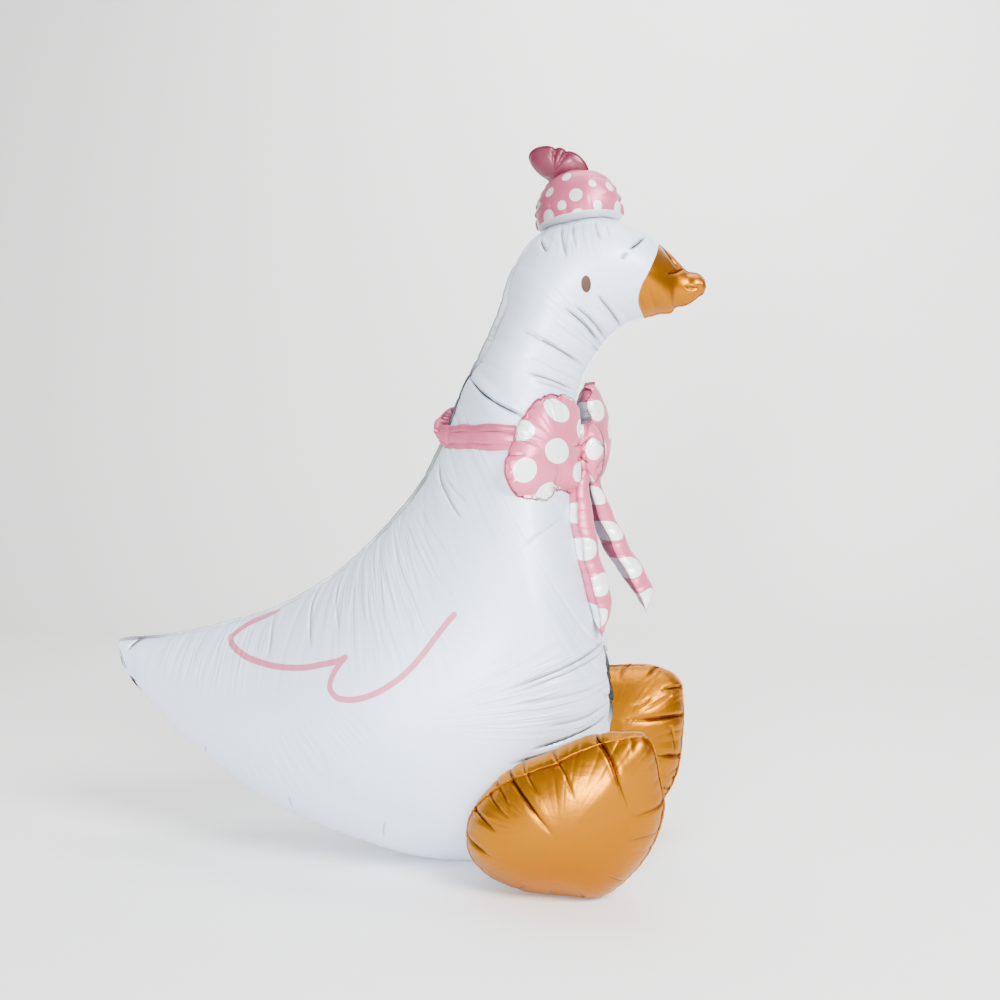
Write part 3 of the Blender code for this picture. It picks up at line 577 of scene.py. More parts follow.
def pillow(outline, half_thickness, around, rows, strip, weld_turn=0.0, roundness=1.2, puckers=(), seed=3,
           scallop=1.0, pucker_reach=0.034):
    """Two film panels welded along an outline and blown up, as a grid of across, up and off-plane.

    At turn f over the pillow (0 at the front's middle, 90 degrees at the rim, 180 at the back's
    middle) a point lies sin f of the way out to the rim and half_thickness |cos f| ** roundness
    off the plane.  The weld may lie before the rim, and its strip stands straight out of it.
    Puckers of seeded size draw the weld inwards and run in over both panels.
    """
    rim, loop = round_trip(outline, around)
    rim, loop = rim / 1000, loop / 1000
    bearing = np.degrees(np.arctan2(rim[:, 1], rim[:, 0])) % 360
    turn = np.pi / 2 - np.radians(weld_turn(bearing) if callable(weld_turn) else np.full(around, weld_turn))
    run = np.arange(around) * loop / around
    chance = np.random.default_rng(seed)
    spots = np.cumsum(chance.uniform(0.008, 0.021, 400))
    spots = spots[spots < loop - 0.006]
    width = chance.uniform(0.0012, 0.0026, len(spots))
    deep = scallop * chance.uniform(0.0003, 0.0012, len(spots))
    reach = chance.uniform(0.007, 0.024, len(spots))
    for pucker_bearing, depth in puckers:
        spots = np.append(spots, run[np.argmin(np.abs((bearing - pucker_bearing + 180) % 360 - 180))])
        width, deep, reach = np.append(width, 0.0034), np.append(deep, depth), np.append(reach, pucker_reach)
    pull = sum(d * np.exp(-np.minimum(np.abs(run - s), loop - np.abs(run - s)) / (1.2 * w))
               for s, d, w in zip(spots, deep, width))
    size = np.hypot(*rim.T)
    rim = rim * (1 - (0.8 * pull + strip) / size)[:, None]
    size = np.hypot(*rim.T)
    share = np.sin(np.linspace(0, np.pi / 2, rows + 1))
    turns = np.concatenate([turn[None] * share[:, None], np.repeat(turn[None], 2, axis=0),
                            np.pi - (np.pi - turn[None]) * share[::-1, None]])
    out = np.zeros(len(turns))
    out[rows + 1] = out[rows + 2] = strip
    lifted = half_thickness * np.sign(np.cos(turns)) * np.abs(np.cos(turns)) ** roundness
    inward = np.concatenate([(1 - share[:, None]) * turn, np.zeros((2, around)),
                             (1 - share[::-1, None]) * (np.pi - turn)]) * size
    flat = np.sin(turns) + (out[:, None] * np.sin(turn)) / size
    off = lifted + out[:, None] * np.cos(turn)
    row = np.arange(len(turns))[:, None]
    off = off + np.where(row < rows + 2, FILM, -FILM) * ((row >= rows) & (row <= rows + 3))
    drawn = gathered(np.broadcast_to(run, inward.shape), inward, spots, width, reach, deep, loop)
    drawn = drawn * (inward > 0) * (1 - 0.5 * np.exp(-inward / 0.003))
    local = np.stack([flat * rim[:, 0], flat * rim[:, 1], off], axis=-1)
    front = (row <= rows + 1) & (inward >= 0)
    seam_gap = np.where(out[:, None] > 0, 1.0, -inward * 1000)
    return local, drawn, front, seam_gap


def pressed(a, b, creases, face, seam_gap, marks):
    """How high one panel lies under its creases, which run in from the weld and fade; adds their marks."""
    height = np.zeros(a.shape)
    for number, (*line, width, depth) in enumerate(creases):
        signed, over, share = beside(a, b, line)
        ends = np.clip(6 * share + 0.8, 0, 1) * np.clip(2.2 * (1 - share), 0, 1)
        ends = ends * np.exp(-(over / width) ** 2)
        valley = np.exp(-np.abs(signed) / width) - 0.45 * np.exp(-(signed / (4.5 * width)) ** 2)
        height -= face * ends * depth / 1000 * valley * np.clip(-seam_gap / 2 + 0.5, 0, 1)
        fade = np.clip(6 * share + 0.7, 0, 1) * np.clip(2.2 * (1 - share), 0, 1) * min(depth / 2.6, 1.25)
        marks[number % 2] = marked(marks[number % 2], face, signed, over, fade)
    return height


def placed(local, middle, across, up):
    """A local grid of across, up and off-plane carried to its place."""
    across = np.asarray(across, float) / np.linalg.norm(across)
    up = np.asarray(up, float) / np.linalg.norm(up)
    off = np.cross(across, up)
    return np.asarray(middle) + local[..., 0:1] * across + local[..., 1:2] * up + local[..., 2:3] * off


def creased(grid, local, height, front, seam_gap, shown, hidden):
    """A pillow's grid swollen by a height, with the creases of both panels pressed in; their marks too."""
    a, b = local[..., 0] * 1000, local[..., 1] * 1000
    marks = crease_layers(a.shape)
    for face, creases in ((front, shown), (~front, hidden)):
        height = height + pressed(a, b, creases, face, seam_gap, marks)
    return grid + outward_normals(grid) * height[..., None], mark_facts(marks)


def foot_skin(name, outline, creases, middle, lean, weld_turn, seed):
    """A foot's mesh: the pillow set upright in its place, its creases pressed in, its foot flat."""
    around, rows = ((400, 62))
    local, drawn, front, seam_gap = pillow(outline, FOOT_HALF_THICKNESS, around, rows, WELD_STRIP, weld_turn,
                                           seed=seed)
    grid = placed(local, middle, (1, 0, 0), (0, -math.sin(lean), math.cos(lean)))
    height = uneven(grid, 0.0007, seed) * np.clip(-seam_gap / 8, 0, 1) - drawn
    chance = np.random.default_rng(seed + 5)
    hidden = []
    for number, (*line, width, depth) in enumerate(creases):
        shift = chance.uniform(-8, 8, 2) * (not callable(weld_turn) or number >= CROSSING_CREASES)
        hidden.append((*(np.array(line) + shift), width, depth))
    grid, marks = creased(grid, local, height, front, seam_gap, creases, hidden)
    low = grid[..., 2] < FLAT_BELOW
    grid[low, 2] = FLAT_BELOW * np.exp(grid[low, 2] / FLAT_BELOW - 1)
    return skin(name, grid, {"seam": seam_gap, **marks})


def settle(thing, target, gap):
    """Push whatever lies inside the target out to its skin, and keep the result as the mesh."""
    press = thing.modifiers.new("pressed against", "SHRINKWRAP")
    press.target = target
    press.wrap_method = "NEAREST_SURFACEPOINT"
    press.wrap_mode = "OUTSIDE"
    press.offset = gap
    graph = bpy.context.evaluated_depsgraph_get()
    pressed = bpy.data.meshes.new_from_object(thing.evaluated_get(graph), preserve_all_data_layers=True,
                                              depsgraph=graph)
    thing.modifiers.clear()
    thing.data = pressed


def gold_film():
    """Gold satin film: metallised nylon film under clear orange lacquer.

    It mirrors the room softly: deep orange where it faces dark and pale gold at the folds.  A thin dark line
    of painted shade marks its creases.
    """
    material, tree, shader = finish("gold satin metallised film", metallic=1.0, roughness=0.38)
    place = add(tree, "TexCoord", take="Object")
    dark, deep = crease_lines(tree, 0.3, 1.4, 3.5)
    # Short ripples of slack film cross the panels, 4 to 8 mm apart.
    stretched = add(tree, "Mapping", {"Vector": place, "Rotation": (0.0, 0.5, 0.0), "Scale": (1.0, 1.0, 2.6)})
    ripple = add(tree, "TexNoise", {"Vector": stretched, "Scale": 55.0, "Detail": 2.5, "Roughness": 0.5,
                                    "Distortion": 0.4})
    # Fine upright strokes, 4 mm apart and 20 mm long, lie across the blown-up middle.
    upright = add(tree, "Mapping", {"Vector": place, "Rotation": (0.0, -0.3, 0.0), "Scale": (1.0, 1.0, 0.2)})
    strokes = add(tree, "TexNoise", {"Vector": upright, "Scale": 240.0, "Detail": 1.0, "Roughness": 0.4})
    bump = add(tree, "Bump", {"Strength": 0.3, "Distance": 0.0012, "Height": ripple})
    bump = add(tree, "Bump", {"Strength": 0.35, "Distance": 0.0005, "Height": strokes, "Normal": bump})
    bump = add(tree, "Bump", {"Strength": 0.8, "Distance": 0.0015, "Height": deep, "Normal": bump},
               invert=True)
    tree.links.new(bump, shader.inputs["Normal"])
    tone = add(tree, "TexNoise", {"Vector": place, "Scale": 9.0, "Detail": 1.0})
    film = add(tree, "Mix", {"Factor": tone, "A": "#a36200", "B": "#b06e00"}, data_type="RGBA")
    # Creases get a thin dark line of painted shade.
    folds = add(tree, "Math", (dark, 0.9), operation="MULTIPLY", use_clamp=True)
    film = add(tree, "Mix", {"Factor": folds, "A": film, "B": "#3a1802"}, data_type="RGBA")
    seam = add(tree, "Attribute", take="Fac", attribute_name="seam")
    welded = add(tree, "MapRange", (seam, -0.4, 0.3, 0.0, 1.0))
    film = add(tree, "Mix", {"Factor": welded, "A": film, "B": "#a8680c"}, data_type="RGBA")
    tree.links.new(film, shader.inputs["Base Color"])
    return material


gold = gold_film()
bearings, turns = np.array(RIGHT_WELD_TURN, float).T
right_foot = foot_skin("right_foot_film", RIGHT_FOOT, RIGHT_CREASES, (0.1550, -0.1214, 0.0875), FOOT_LEAN,
                       lambda bearing: np.interp(bearing, bearings, turns), 11)
left_foot = foot_skin("left_foot_film", LEFT_FOOT, LEFT_CREASES, (0.1750, 0.1192, 0.0963), -FOOT_LEAN,
                      0.0, 12)
for foot, solid in ((right_foot, "right_foot"), (left_foot, "left_foot")):
    settle(foot, body, TAPE_GAP)
    foot.data.materials.append(gold)
    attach(foot, "root")
    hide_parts(solid)


# The bow is one small balloon of two pink film panels printed with white dots: two lobes, a knot,
# two notched tails and a strap.  The strap goes round the neck, is folded to a tip behind the nape
# and is taped to the back of the knot.

KNOT_MIDDLE = np.array([0.16362, 0.0, 0.45736])
KNOT_SIZE = (40.0, 74.0, 52.0)
# Lobe outline in its own plane, in mm: outward from the knot, up.
LOBE_OUTLINE = [(-58, -8), (-57, 34), (-52, 53), (-30, 62), (3, 57), (24, 42), (39, 25), (46, 4), (58, -18),
                (56, -34), (40, -52), (14, -61), (-6, -51), (-20, -47), (-54, -48)]
LOBE_HALF_THICKNESS = 0.023
LOBE_PUCKERS = [(112, 0.0042), (52, 0.003), (20, 0.002), (338, 0.0015), (286, 0.0035), (262, 0.006),
                (86, 0.0025), (166, 0.003), (192, 0.003)]
# Folds that run from the strap and the knot into the right lobe, in mm: three points, half width, depth.
LOBE_CREASES = [((62, 9), (42, 8), (20, 0), 2.0, 2.2), ((60, -9), (50, -8), (40, -9), 1.8, 1.8),
                ((-56, 8), (-36, 4), (-22, 4), 2.0, 2.4), ((-56, -6), (-40, -12), (-30, -20), 2.0, 2.0),
                ((-2, 60), (-4, 52), (-10, 46), 2.0, 2.0), ((-12, -58), (-10, -46), (-8, -36), 2.0, 2.6)]
# Dots on a lobe's shown panel, in mm: outward, up, radius, and its stretch outward.  The hidden
# panel has the same ones, drawn in towards the knot and upside down.
LOBE_DOTS = {
    "right": [(-7, 41, 13, 1.3), (41, 20, 13, 1.04), (1, -3, 13.5, 1.34), (40.5, -24, 13, 0.94),
              (6, -48, 12, 1.3), (-50, 22, 12, 1.3), (-40, -24, 11, 1.3), (38, -66, 12, 1.2),
              (32, 62, 12, 1.2), (-42, 66, 12, 1.3), (80, -2, 13, 1.0), (-68, -34, 12, 1.3)],
    "left": [(-48, 26, 12, 1), (-22, 44, 12, 1), (-12, 8, 13, 1), (26, 26, 13, 1), (20, -18, 13, 1),
             (-42, -18, 12, 1), (54, -6, 12, 1), (-14, -50, 12, 1), (50, -46, 12, 1), (4, 68, 12, 1),
             (-58, 60, 12, 1)],
}
LOBE_REACH = 0.072           # from the knot's middle to a lobe's
# How far each lobe is swept back in degrees, and how its film lies.  Its shade is the painted shade of its
# front panel, back panel and weld.
LOBE_STYLES = {
    "right": (54.0, dict(seed=21, shade=(0.0, 0.0, 0.3), pucker_reach=0.017, creases=LOBE_CREASES)),
    "left": (88.0, dict(seed=22, scallop=3.4, shade=(0.1, 0.75, 1.0), pucker_reach=0.020, ruffle=0.004,
                        dark_weld=1.3)),
}
TAIL_LENGTH = 0.199
TAIL_HALF_WIDTH = 0.021
TAIL_HALF_THICKNESS = 0.0155
TAIL_NOTCH = 0.020
# Tail routes from the knot's middle in tail lengths: forward, left, up; then the bearing of the
# tail's width, and its dots: across, down from the knot and radius in mm, and on which panel.
TAILS = {
    "right": ([(-0.03, -0.03, -0.05), (-0.03, -0.15, -0.39), (0.035, -0.16, -0.68), (0.11, -0.165, -1.0)],
              91.0, [(-20, 96, 13, 0), (-11, 138, 12.5, 1), (-17, 171, 13, -1), (-24, 172, 12, 1),
                     (-17, 56, 12, -1), (12, 62, 12, 1), (14, 112, 12, 0), (4, 186, 10, 1),
                     (14, 158, 12, -1)]),
    "left": ([(0.0, 0.04, -0.05), (0.06, 0.15, -0.36), (0.19, 0.18, -0.62), (0.33, 0.20, -0.90)], 89.0,
             [(-15, 36, 11.5, 0), (-16, 80, 12.5, 0), (-16, 128, 13, 0), (-15, 172, 12.5, 0), (13, 58, 10, 0),
              (13, 106, 10, 0), (13, 150, 10, 0)]),
}
STRAP_LEVEL = 0.472
STRAP_HALF_HEIGHT = 0.0145
STRAP_FOLDS = (0.42, -0.5)   # levels of its two valleys, in half heights
NO_DOT = 30.0                # distance in mm that stands for no dot near


def dotted(a, b, dots):
    """Signed distance in mm from the nearest dot's edge, less than nothing inside it."""
    gap = np.full(np.shape(a), NO_DOT)
    for across, up, radius, stretch in dots:
        gap = np.minimum(gap, np.hypot((a - across) / stretch, b - up) - radius)
    return gap


def puffed(name, outline, half_thickness, puckers, middle, across, up, dots, hidden_dots, seed, around=260,
           rows=40, strip=WELD_STRIP, roundness=1.1, scallop=1.9, shade=(0.0, 0.0, 0.0), pucker_reach=0.034,
           creases=(), ruffle=0.0, dark_weld=0.6):
    """A small dotted pillow of the bow or the hat, in its place.

    shade is how much painted shade darkens the front panel, the back panel and the weld.  A ruffle
    is how far the weld swings off its plane, as sin s + 0.6 sin 1.3 s along it, which is gone 15 mm
    further in.  The film is painted dark as shade for dark_weld mm beside the weld.
    """
    coarse = 1
    local, drawn, front, seam_gap = pillow(outline, half_thickness, around // coarse, rows // coarse, strip,
                                           roundness=roundness, puckers=puckers, seed=seed, scallop=scallop,
                                           pucker_reach=pucker_reach)
    swing = np.linspace(0, 2 * np.pi * 17, local.shape[1], endpoint=False)[None, :]
    swing = np.sin(swing) + 0.6 * np.sin(swing * 22 / 17)
    local[..., 2] += ruffle * swing * np.exp(-(np.maximum(-seam_gap, 0) / 9) ** 2)
    grid = placed(local, middle, across, up)
    height = uneven(grid * 2.2, 0.0006, seed) * np.clip(-seam_gap / 6, 0, 1) - drawn * 1.3
    grid, marks = creased(grid, local, height, front, seam_gap, creases, creases)
    a, b = local[..., 0] * 1000, local[..., 1] * 1000
    dot = np.where(front, dotted(a, b, dots), dotted(a, b, hidden_dots))
    # Painted shade of each point: set by its panel, and heavier on and beside the weld.
    painted_shade = np.where(seam_gap > -dark_weld, shade[2], np.where(front, shade[0], shade[1]))
    return skin(name, grid, {"seam": seam_gap + dark_weld - 0.6, "dot": dot, "inside": painted_shade, **marks})


def lobe(side):
    """One lobe of the bow, swept back beside the breast."""
    out = -1.0 if side == "right" else 1.0
    sweep, style = LOBE_STYLES[side]
    sweep = math.radians(sweep)
    outward = np.array([-math.cos(sweep), out * math.sin(sweep), 0.0])
    middle = KNOT_MIDDLE + outward * LOBE_REACH + np.array([0.0, 0.0, 0.013 + out * 0.0105])
    shown = LOBE_DOTS[side]
    hidden = [(0.9 * a - 12, -b + 6, r, stretch) for a, b, r, stretch in shown]
    panels = (hidden, shown) if side == "right" else (shown, hidden)
    return puffed("bow_lobe_" + side, LOBE_OUTLINE, LOBE_HALF_THICKNESS, LOBE_PUCKERS, middle, outward,
                  (0, 0, 1), *panels, **style)


def tail(side):
    """One tail of the bow: a lens section carried along a curve, with a weld strip at either edge.

    At angle v a section's point lies cos v across the tail and |sin v| ** 1.15 off its plane, and
    the tail's sealed end is shorter in its middle than at its edges.
    """
    route, bearing, dots = TAILS[side]
    turn = math.radians(bearing)
    rings, panel = ((150, 34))
    share = np.concatenate([[0.0], np.linspace(0, 1, rings), [1.0]])
    middle = KNOT_MIDDLE + through(np.array(route) * TAIL_LENGTH, share * (len(route) - 1))
    along = run_length(middle)[:, None]
    across = np.array([math.cos(turn), math.sin(turn), 0.0])
    normal = np.array([math.sin(turn), -math.cos(turn), 0.0])
    half = np.interp(share, [0, 0.3, 0.8, 1], [0.55, 0.86, 1.0, 0.86])[:, None]
    half = TAIL_HALF_WIDTH * half - WELD_STRIP
    thick = np.interp(share, [0, 0.16, 0.3, 0.75, 0.93, 1], [0.35, 0.7, 1.0, 0.95, 0.6, 0.03])[:, None]
    thick = TAIL_HALF_THICKNESS * thick
    v = np.linspace(0, np.pi, panel)
    edge = np.array([0.0, 0.0])
    reach = np.concatenate([edge + 1, np.cos(v), edge - 1, edge - 1, np.cos(v[::-1]), edge + 1])[None, :]
    lift = np.concatenate([edge, np.sin(v) ** 1.15, edge, edge, -np.sin(v[::-1]) ** 1.15, edge])[None, :]
    strip = np.concatenate([[1.0, 0.5], 0 * v, [0.5, 1.0], [1.0, 0.5], 0 * v, [0.5, 1.0]])[None, :]
    face = np.concatenate([np.ones(panel + 4), -np.ones(panel + 4)])[None, :]
    chance = np.random.default_rng(31 if side == "right" else 32)
    spots = np.cumsum(chance.uniform(0.008, 0.019, 30))
    spots = spots[spots < TAIL_LENGTH]
    pulls = chance.uniform(0.0004, 0.0013, (2, len(spots)))
    drawn = np.zeros((len(share), reach.shape[1]))
    edge_pull = np.zeros((len(share), reach.shape[1]))
    for sense, pull in zip((1, -1), pulls):
        inward = (1 - sense * reach) * half
        width, fade = np.full((2, len(spots)), [[0.0016], [0.009]])
        drawn += gathered(along, inward, spots, width, fade, pull * 1.5)
        valley = (pull * np.exp(-np.abs(along - spots) / 0.0024)).sum(axis=1)[:, None]
        edge_pull += valley * np.clip(sense * reach, 0, 1) ** 4
    wave = 0.0012 * np.sin(along / 0.012 + 1.0) + 0.0008 * np.sin(along / 0.0065)
    a = reach * half + np.sign(reach) * strip * WELD_STRIP - np.sign(reach) * edge_pull
    off = (thick * lift - drawn * np.sign(lift)) + face * FILM + wave
    grid = middle[:, None] + a[..., None] * across + off[..., None] * normal
    grid[..., 2] += TAIL_NOTCH * (1 - np.abs(reach)) * share[:, None] ** 3
    a_mm, down = a * 1000, along * 1000 - 4 + 0 * a
    dot = np.full(a.shape, NO_DOT)
    for across_mm, down_mm, radius, panel_side in dots:
        gap = np.hypot(a_mm - across_mm, down - down_mm) - radius
        dot = np.where(face * panel_side >= 0, np.minimum(dot, gap), dot)
    seam = np.where(strip > 0, 1.0, -(1 - np.abs(reach)) * half * 1000)
    # Painted shade: the left tail's back panel, which faces the breast, is painted fully shaded, and both
    # tails are painted darker where they are gathered at the knot.
    at_knot = np.clip(1 - share[:, None] / 0.16, 0, 1) * 0.6
    painted_shade = np.maximum((face < 0) * (side == "left") * 1.0, at_knot) + 0.0 * a
    return skin("bow_tail_" + side, grid, {"seam": seam, "dot": dot, "inside": painted_shade})


def strap():
    """The strap: a flat blown-up band carried round the neck, with creases along it.

    For each bearing it takes the neck's own radius at its level.  The section is a lens
    sqrt(1 - h * h) whose outer face has two valleys exp(-|h - h0| / 0.09).
    """
    bearing = np.linspace(0.02, 2 * np.pi - 0.02, 220)
    behind = np.abs(bearing - np.pi)
    behind = np.minimum(behind, 2 * np.pi - behind)
    wrapped = np.where(bearing > np.pi, bearing - 2 * np.pi, bearing)
    fold = np.clip(1 - behind / 0.42, 0, 1)
    climb = 0.024 * np.exp(-((wrapped + 2.856) / 0.25) ** 2) * (bearing > np.pi)
    level = STRAP_LEVEL + climb + 0.010 * fold ** 2 - 0.003 * np.cos(bearing)
    count = len(body.data.vertices)
    points = np.empty(count * 3, np.float32)
    body.data.vertices.foreach_get("co", points)
    points = points.reshape(-1, 3)
    points = points[np.abs(points[:, 2] - STRAP_LEVEL - 0.008) < 0.05]
    lean = np.polyfit(points[:, 2], points[:, 0], 1)[0]
    slid = points[:, 0] - lean * (points[:, 2] - STRAP_LEVEL)
    centre = (slid.min() + slid.max()) / 2
    seen = np.arctan2(points[:, 1], slid - centre)
    radius = np.hypot(points[:, 1], slid - centre)
    slots = np.digitize(seen, np.linspace(-np.pi, np.pi, 73)) - 1
    mean = np.array([radius[slots == k].mean() for k in range(72)])
    spots = -np.pi + (np.arange(72) + 0.5) * np.pi / 36
    neck = np.interp(-bearing, spots, mean, period=2 * np.pi)
    v = np.linspace(0, 2 * np.pi, 48, endpoint=False)
    height, out = np.cos(v), np.sin(v)
    narrow = 1 - 0.72 * fold ** 2
    half = STRAP_HALF_HEIGHT * narrow[:, None] * (1 + 0.05 * np.sin(bearing * 9)[:, None])
    upper, lower = STRAP_FOLDS
    valleys = np.exp(-np.abs(height - upper) / 0.09) + 0.8 * np.exp(-np.abs(height - lower) / 0.09)
    bulge = 0.0052 * np.sqrt(np.abs(out)) * np.sign(out) * (1 - 0.42 * valleys * (out > 0))
    wobble = 0.0003 * np.sin(bearing * 23)[:, None] * np.sin(2 * v)[None, :]
    reach = (neck + 0.0018 + 0.0090 * fold ** 1.5)[:, None] + wobble
    reach = reach + np.where(out > 0, bulge, 0.35 * bulge)[None, :]
    grid = np.empty((len(bearing), len(v), 3))
    grid[..., 2] = level[:, None] + half * height[None, :]
    grid[..., 0] = centre + lean * (grid[..., 2] - STRAP_LEVEL) + reach * np.cos(bearing)[:, None]
    grid[..., 1] = -reach * np.sin(bearing)[:, None]
    seam = np.broadcast_to(np.where(np.abs(out) < 0.12, 0.5, -6.0)[None, :], grid.shape[:2])
    plain = np.full(grid.shape[:2], NO_DOT)
    # Painted shade darkens the band above its upper crease, and behind the neck where it climbs.
    painted_shade = 0.35 * (height > upper)[None, :] + 0.7 * np.clip((bearing - np.pi) / 0.3, 0, 1)[:, None] + 0 * plain
    facts = {"seam": seam, "dot": plain, "inside": np.minimum(painted_shade, 0.8)}
    for key, level_share, strength in (("crease", upper, 0.8), ("crease_too", lower, 0.55)):
        strength = strength * (out > 0) * (0.55 + 0.45 * np.sin(7 * bearing[:, None] + 9 * level_share))
        strength = strength * np.clip((2.9 - bearing[:, None]) / 0.2, 0, 1)
        gap = (height[None, :] - level_share) * half * 1000
        facts[key] = np.stack([gap, 0 * plain, strength + 0 * plain], axis=-1)
    return skin("bow_strap", grid, facts)


def pink_film():
    """Pink satin film: metallised nylon film under pink ink, with dots of opaque white ink.

    It is a soft pink with painted shade.  It is mauve where it faces away from the light, and darker
    on the weld strip, which is a double layer, on the film beside it and in its creases.
    """
    material, tree, shader = finish("pink dotted metallised film", metallic=0.25, roughness=0.38)
    place = add(tree, "TexCoord", take="Object")
    tone = add(tree, "TexNoise", {"Vector": place, "Scale": 14.0, "Detail": 1.0})
    film = add(tree, "Mix", {"Factor": tone, "A": "#c65778", "B": "#d06586"}, data_type="RGBA")
    dot, painted_shade, seam = (add(tree, "Attribute", take="Fac", attribute_name=key)
                       for key in ("dot", "inside", "seam"))
    inked = add(tree, "MapRange", (dot, -0.2, 0.2, 1.0, 0.0))
    film = add(tree, "Mix", {"Factor": inked, "A": film, "B": "#eaf0f0"}, data_type="RGBA")
    # Painted shade: each point's 'inside' value darkens it as shade.  This falls on panels that face away from
    # the light, on welds and where the film is gathered.
    shade = add(tree, "Mix", {"Factor": painted_shade, "A": "#ffffff", "B": "#8a7a80"}, data_type="RGBA")
    film = add(tree, "Mix", {"Factor": 1.0, "A": film, "B": shade}, data_type="RGBA", blend_type="MULTIPLY")
    # The weld strip and the film beside it are painted dark mauve as shade.
    welded = add(tree, "MapRange", (seam, -0.5, 0.4, 0.0, 0.7))
    film = add(tree, "Mix", {"Factor": welded, "A": film, "B": "#6e2a42"}, data_type="RGBA")
    dark, deep = crease_lines(tree, 0.2, 1.2, 3.0)
    # Creases get a thin dark mauve line of painted shade.
    folds = add(tree, "Math", (dark, 0.85), operation="MULTIPLY", use_clamp=True)
    film = add(tree, "Mix", {"Factor": folds, "A": film, "B": "#4a1a2a"}, data_type="RGBA")
    tree.links.new(film, shader.inputs["Base Color"])
    # Slack film crinkles about 8 mm apart.
    crinkle = add(tree, "TexNoise", {"Vector": place, "Scale": 70.0, "Detail": 2.5, "Roughness": 0.5,
                                     "Distortion": 0.5})
    bump = add(tree, "Bump", {"Strength": 0.45, "Distance": 0.0008, "Height": crinkle})
    bump = add(tree, "Bump", {"Strength": 0.8, "Distance": 0.0012, "Height": deep, "Normal": bump},
               invert=True)
    tree.links.new(bump, shader.inputs["Normal"])
    return material


pink = pink_film()
knot_outline = [(KNOT_SIZE[0] / 2 * math.cos(k), KNOT_SIZE[1] / 2 * math.sin(k))
                for k in np.radians(range(0, 360, 30))]
knot_dots = [(a, b, size, 0.74) for a, b, size in (
    (-10, 24, 11), (9, 3.5, 12), (-14, -14, 9), (2, -34, 9), (23, -20, 9), (22, 28, 9))]
knot_creases = [((-10, 4), (0, 12), (8, 21), 2.0, 2.8), ((-11, -2), (-2, -9), (8, -15), 2.0, 2.8),
                ((-11, -8), (-5, -20), (0, -29), 1.8, 2.2), ((-11, 9), (-6, 18), (-2, 28), 1.8, 2.2),
                ((20, 6), (14, 12), (10, 20), 1.6, 1.6), ((18, -8), (13, -16), (11, -24), 1.6, 1.6)]
knot_puckers = [(90, 0.004), (270, 0.005), (150, 0.003), (176, 0.004), (205, 0.0035), (230, 0.0025)]
# The knot's weld and the film beside it carry painted shade.
knot = puffed("bow_knot", knot_outline, KNOT_SIZE[2] / 2000, knot_puckers, KNOT_MIDDLE, (1, 0, 0), (0, 0, 1),
              knot_dots, knot_dots, seed=23, around=170, rows=36, strip=0.0014, roundness=0.7, scallop=1.5,
              shade=(0.0, 0.0, 0.7), creases=knot_creases)
for piece in (knot, lobe("right"), lobe("left"), tail("right"), tail("left"), strap()):
    settle(piece, body, TAPE_GAP)
    piece.data.materials.append(pink)
    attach(piece, "root")
    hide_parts("neck_bow")


# The hat is a small blown-up dome of pink dotted film that is taped to the crown of the head, with
# a plain leaf-shaped knot of film on its top.  Its brim is drawn in by short puckers.

HAT_RADIUS = 0.0495
HAT_HEIGHT = 0.056
HAT_SEAT = np.array([0.155253, 0.0, 0.7155])
HAT_TILT = math.radians(7.5)
HAT_FORWARD = np.array([math.cos(HAT_TILT), 0.0, math.sin(HAT_TILT)])
HAT_UPWARD = np.array([-math.sin(HAT_TILT), 0.0, math.cos(HAT_TILT)])
HAT_SQUARENESS = 2.6         # 2 would be an oval profile
UNDERSIDE = 0.2              # share of the dome's rows that makes its underside
BRIM = 0.22                  # and the share from which it rises
LEAF_SIZE = (74.0, 50.0, 26.0)
# Dots on the dome: bearing from straight ahead in degrees, height and radius in mm.
HAT_DOTS = [(-129, 31, 5.5), (-87, 19, 7.4), (-62, 30, 4.4), (-37, 26, 5.6), (-108, 11, 5.3), (-60, 5, 5.2),
            (-131, 3, 8.0), (-88, -3, 6.6), (-24, 5, 6.6), (-155, 22, 5.4), (-165, 4, 6.6),
            (170, 32, 5.2), (165, 12, 6.4), (140, 24, 6.8), (120, 6, 6.6), (112, 32, 5.4), (88, 18, 7.2),
            (70, 3, 5.6), (60, 30, 5.8), (42, 14, 6.8), (14, 26, 6.0), (10, 6, 5.6), (30, 40, 5.0),
            (-10, 42, 5.0), (-100, 44, 5.2), (100, 46, 5.6), (180, 46, 5.0)]


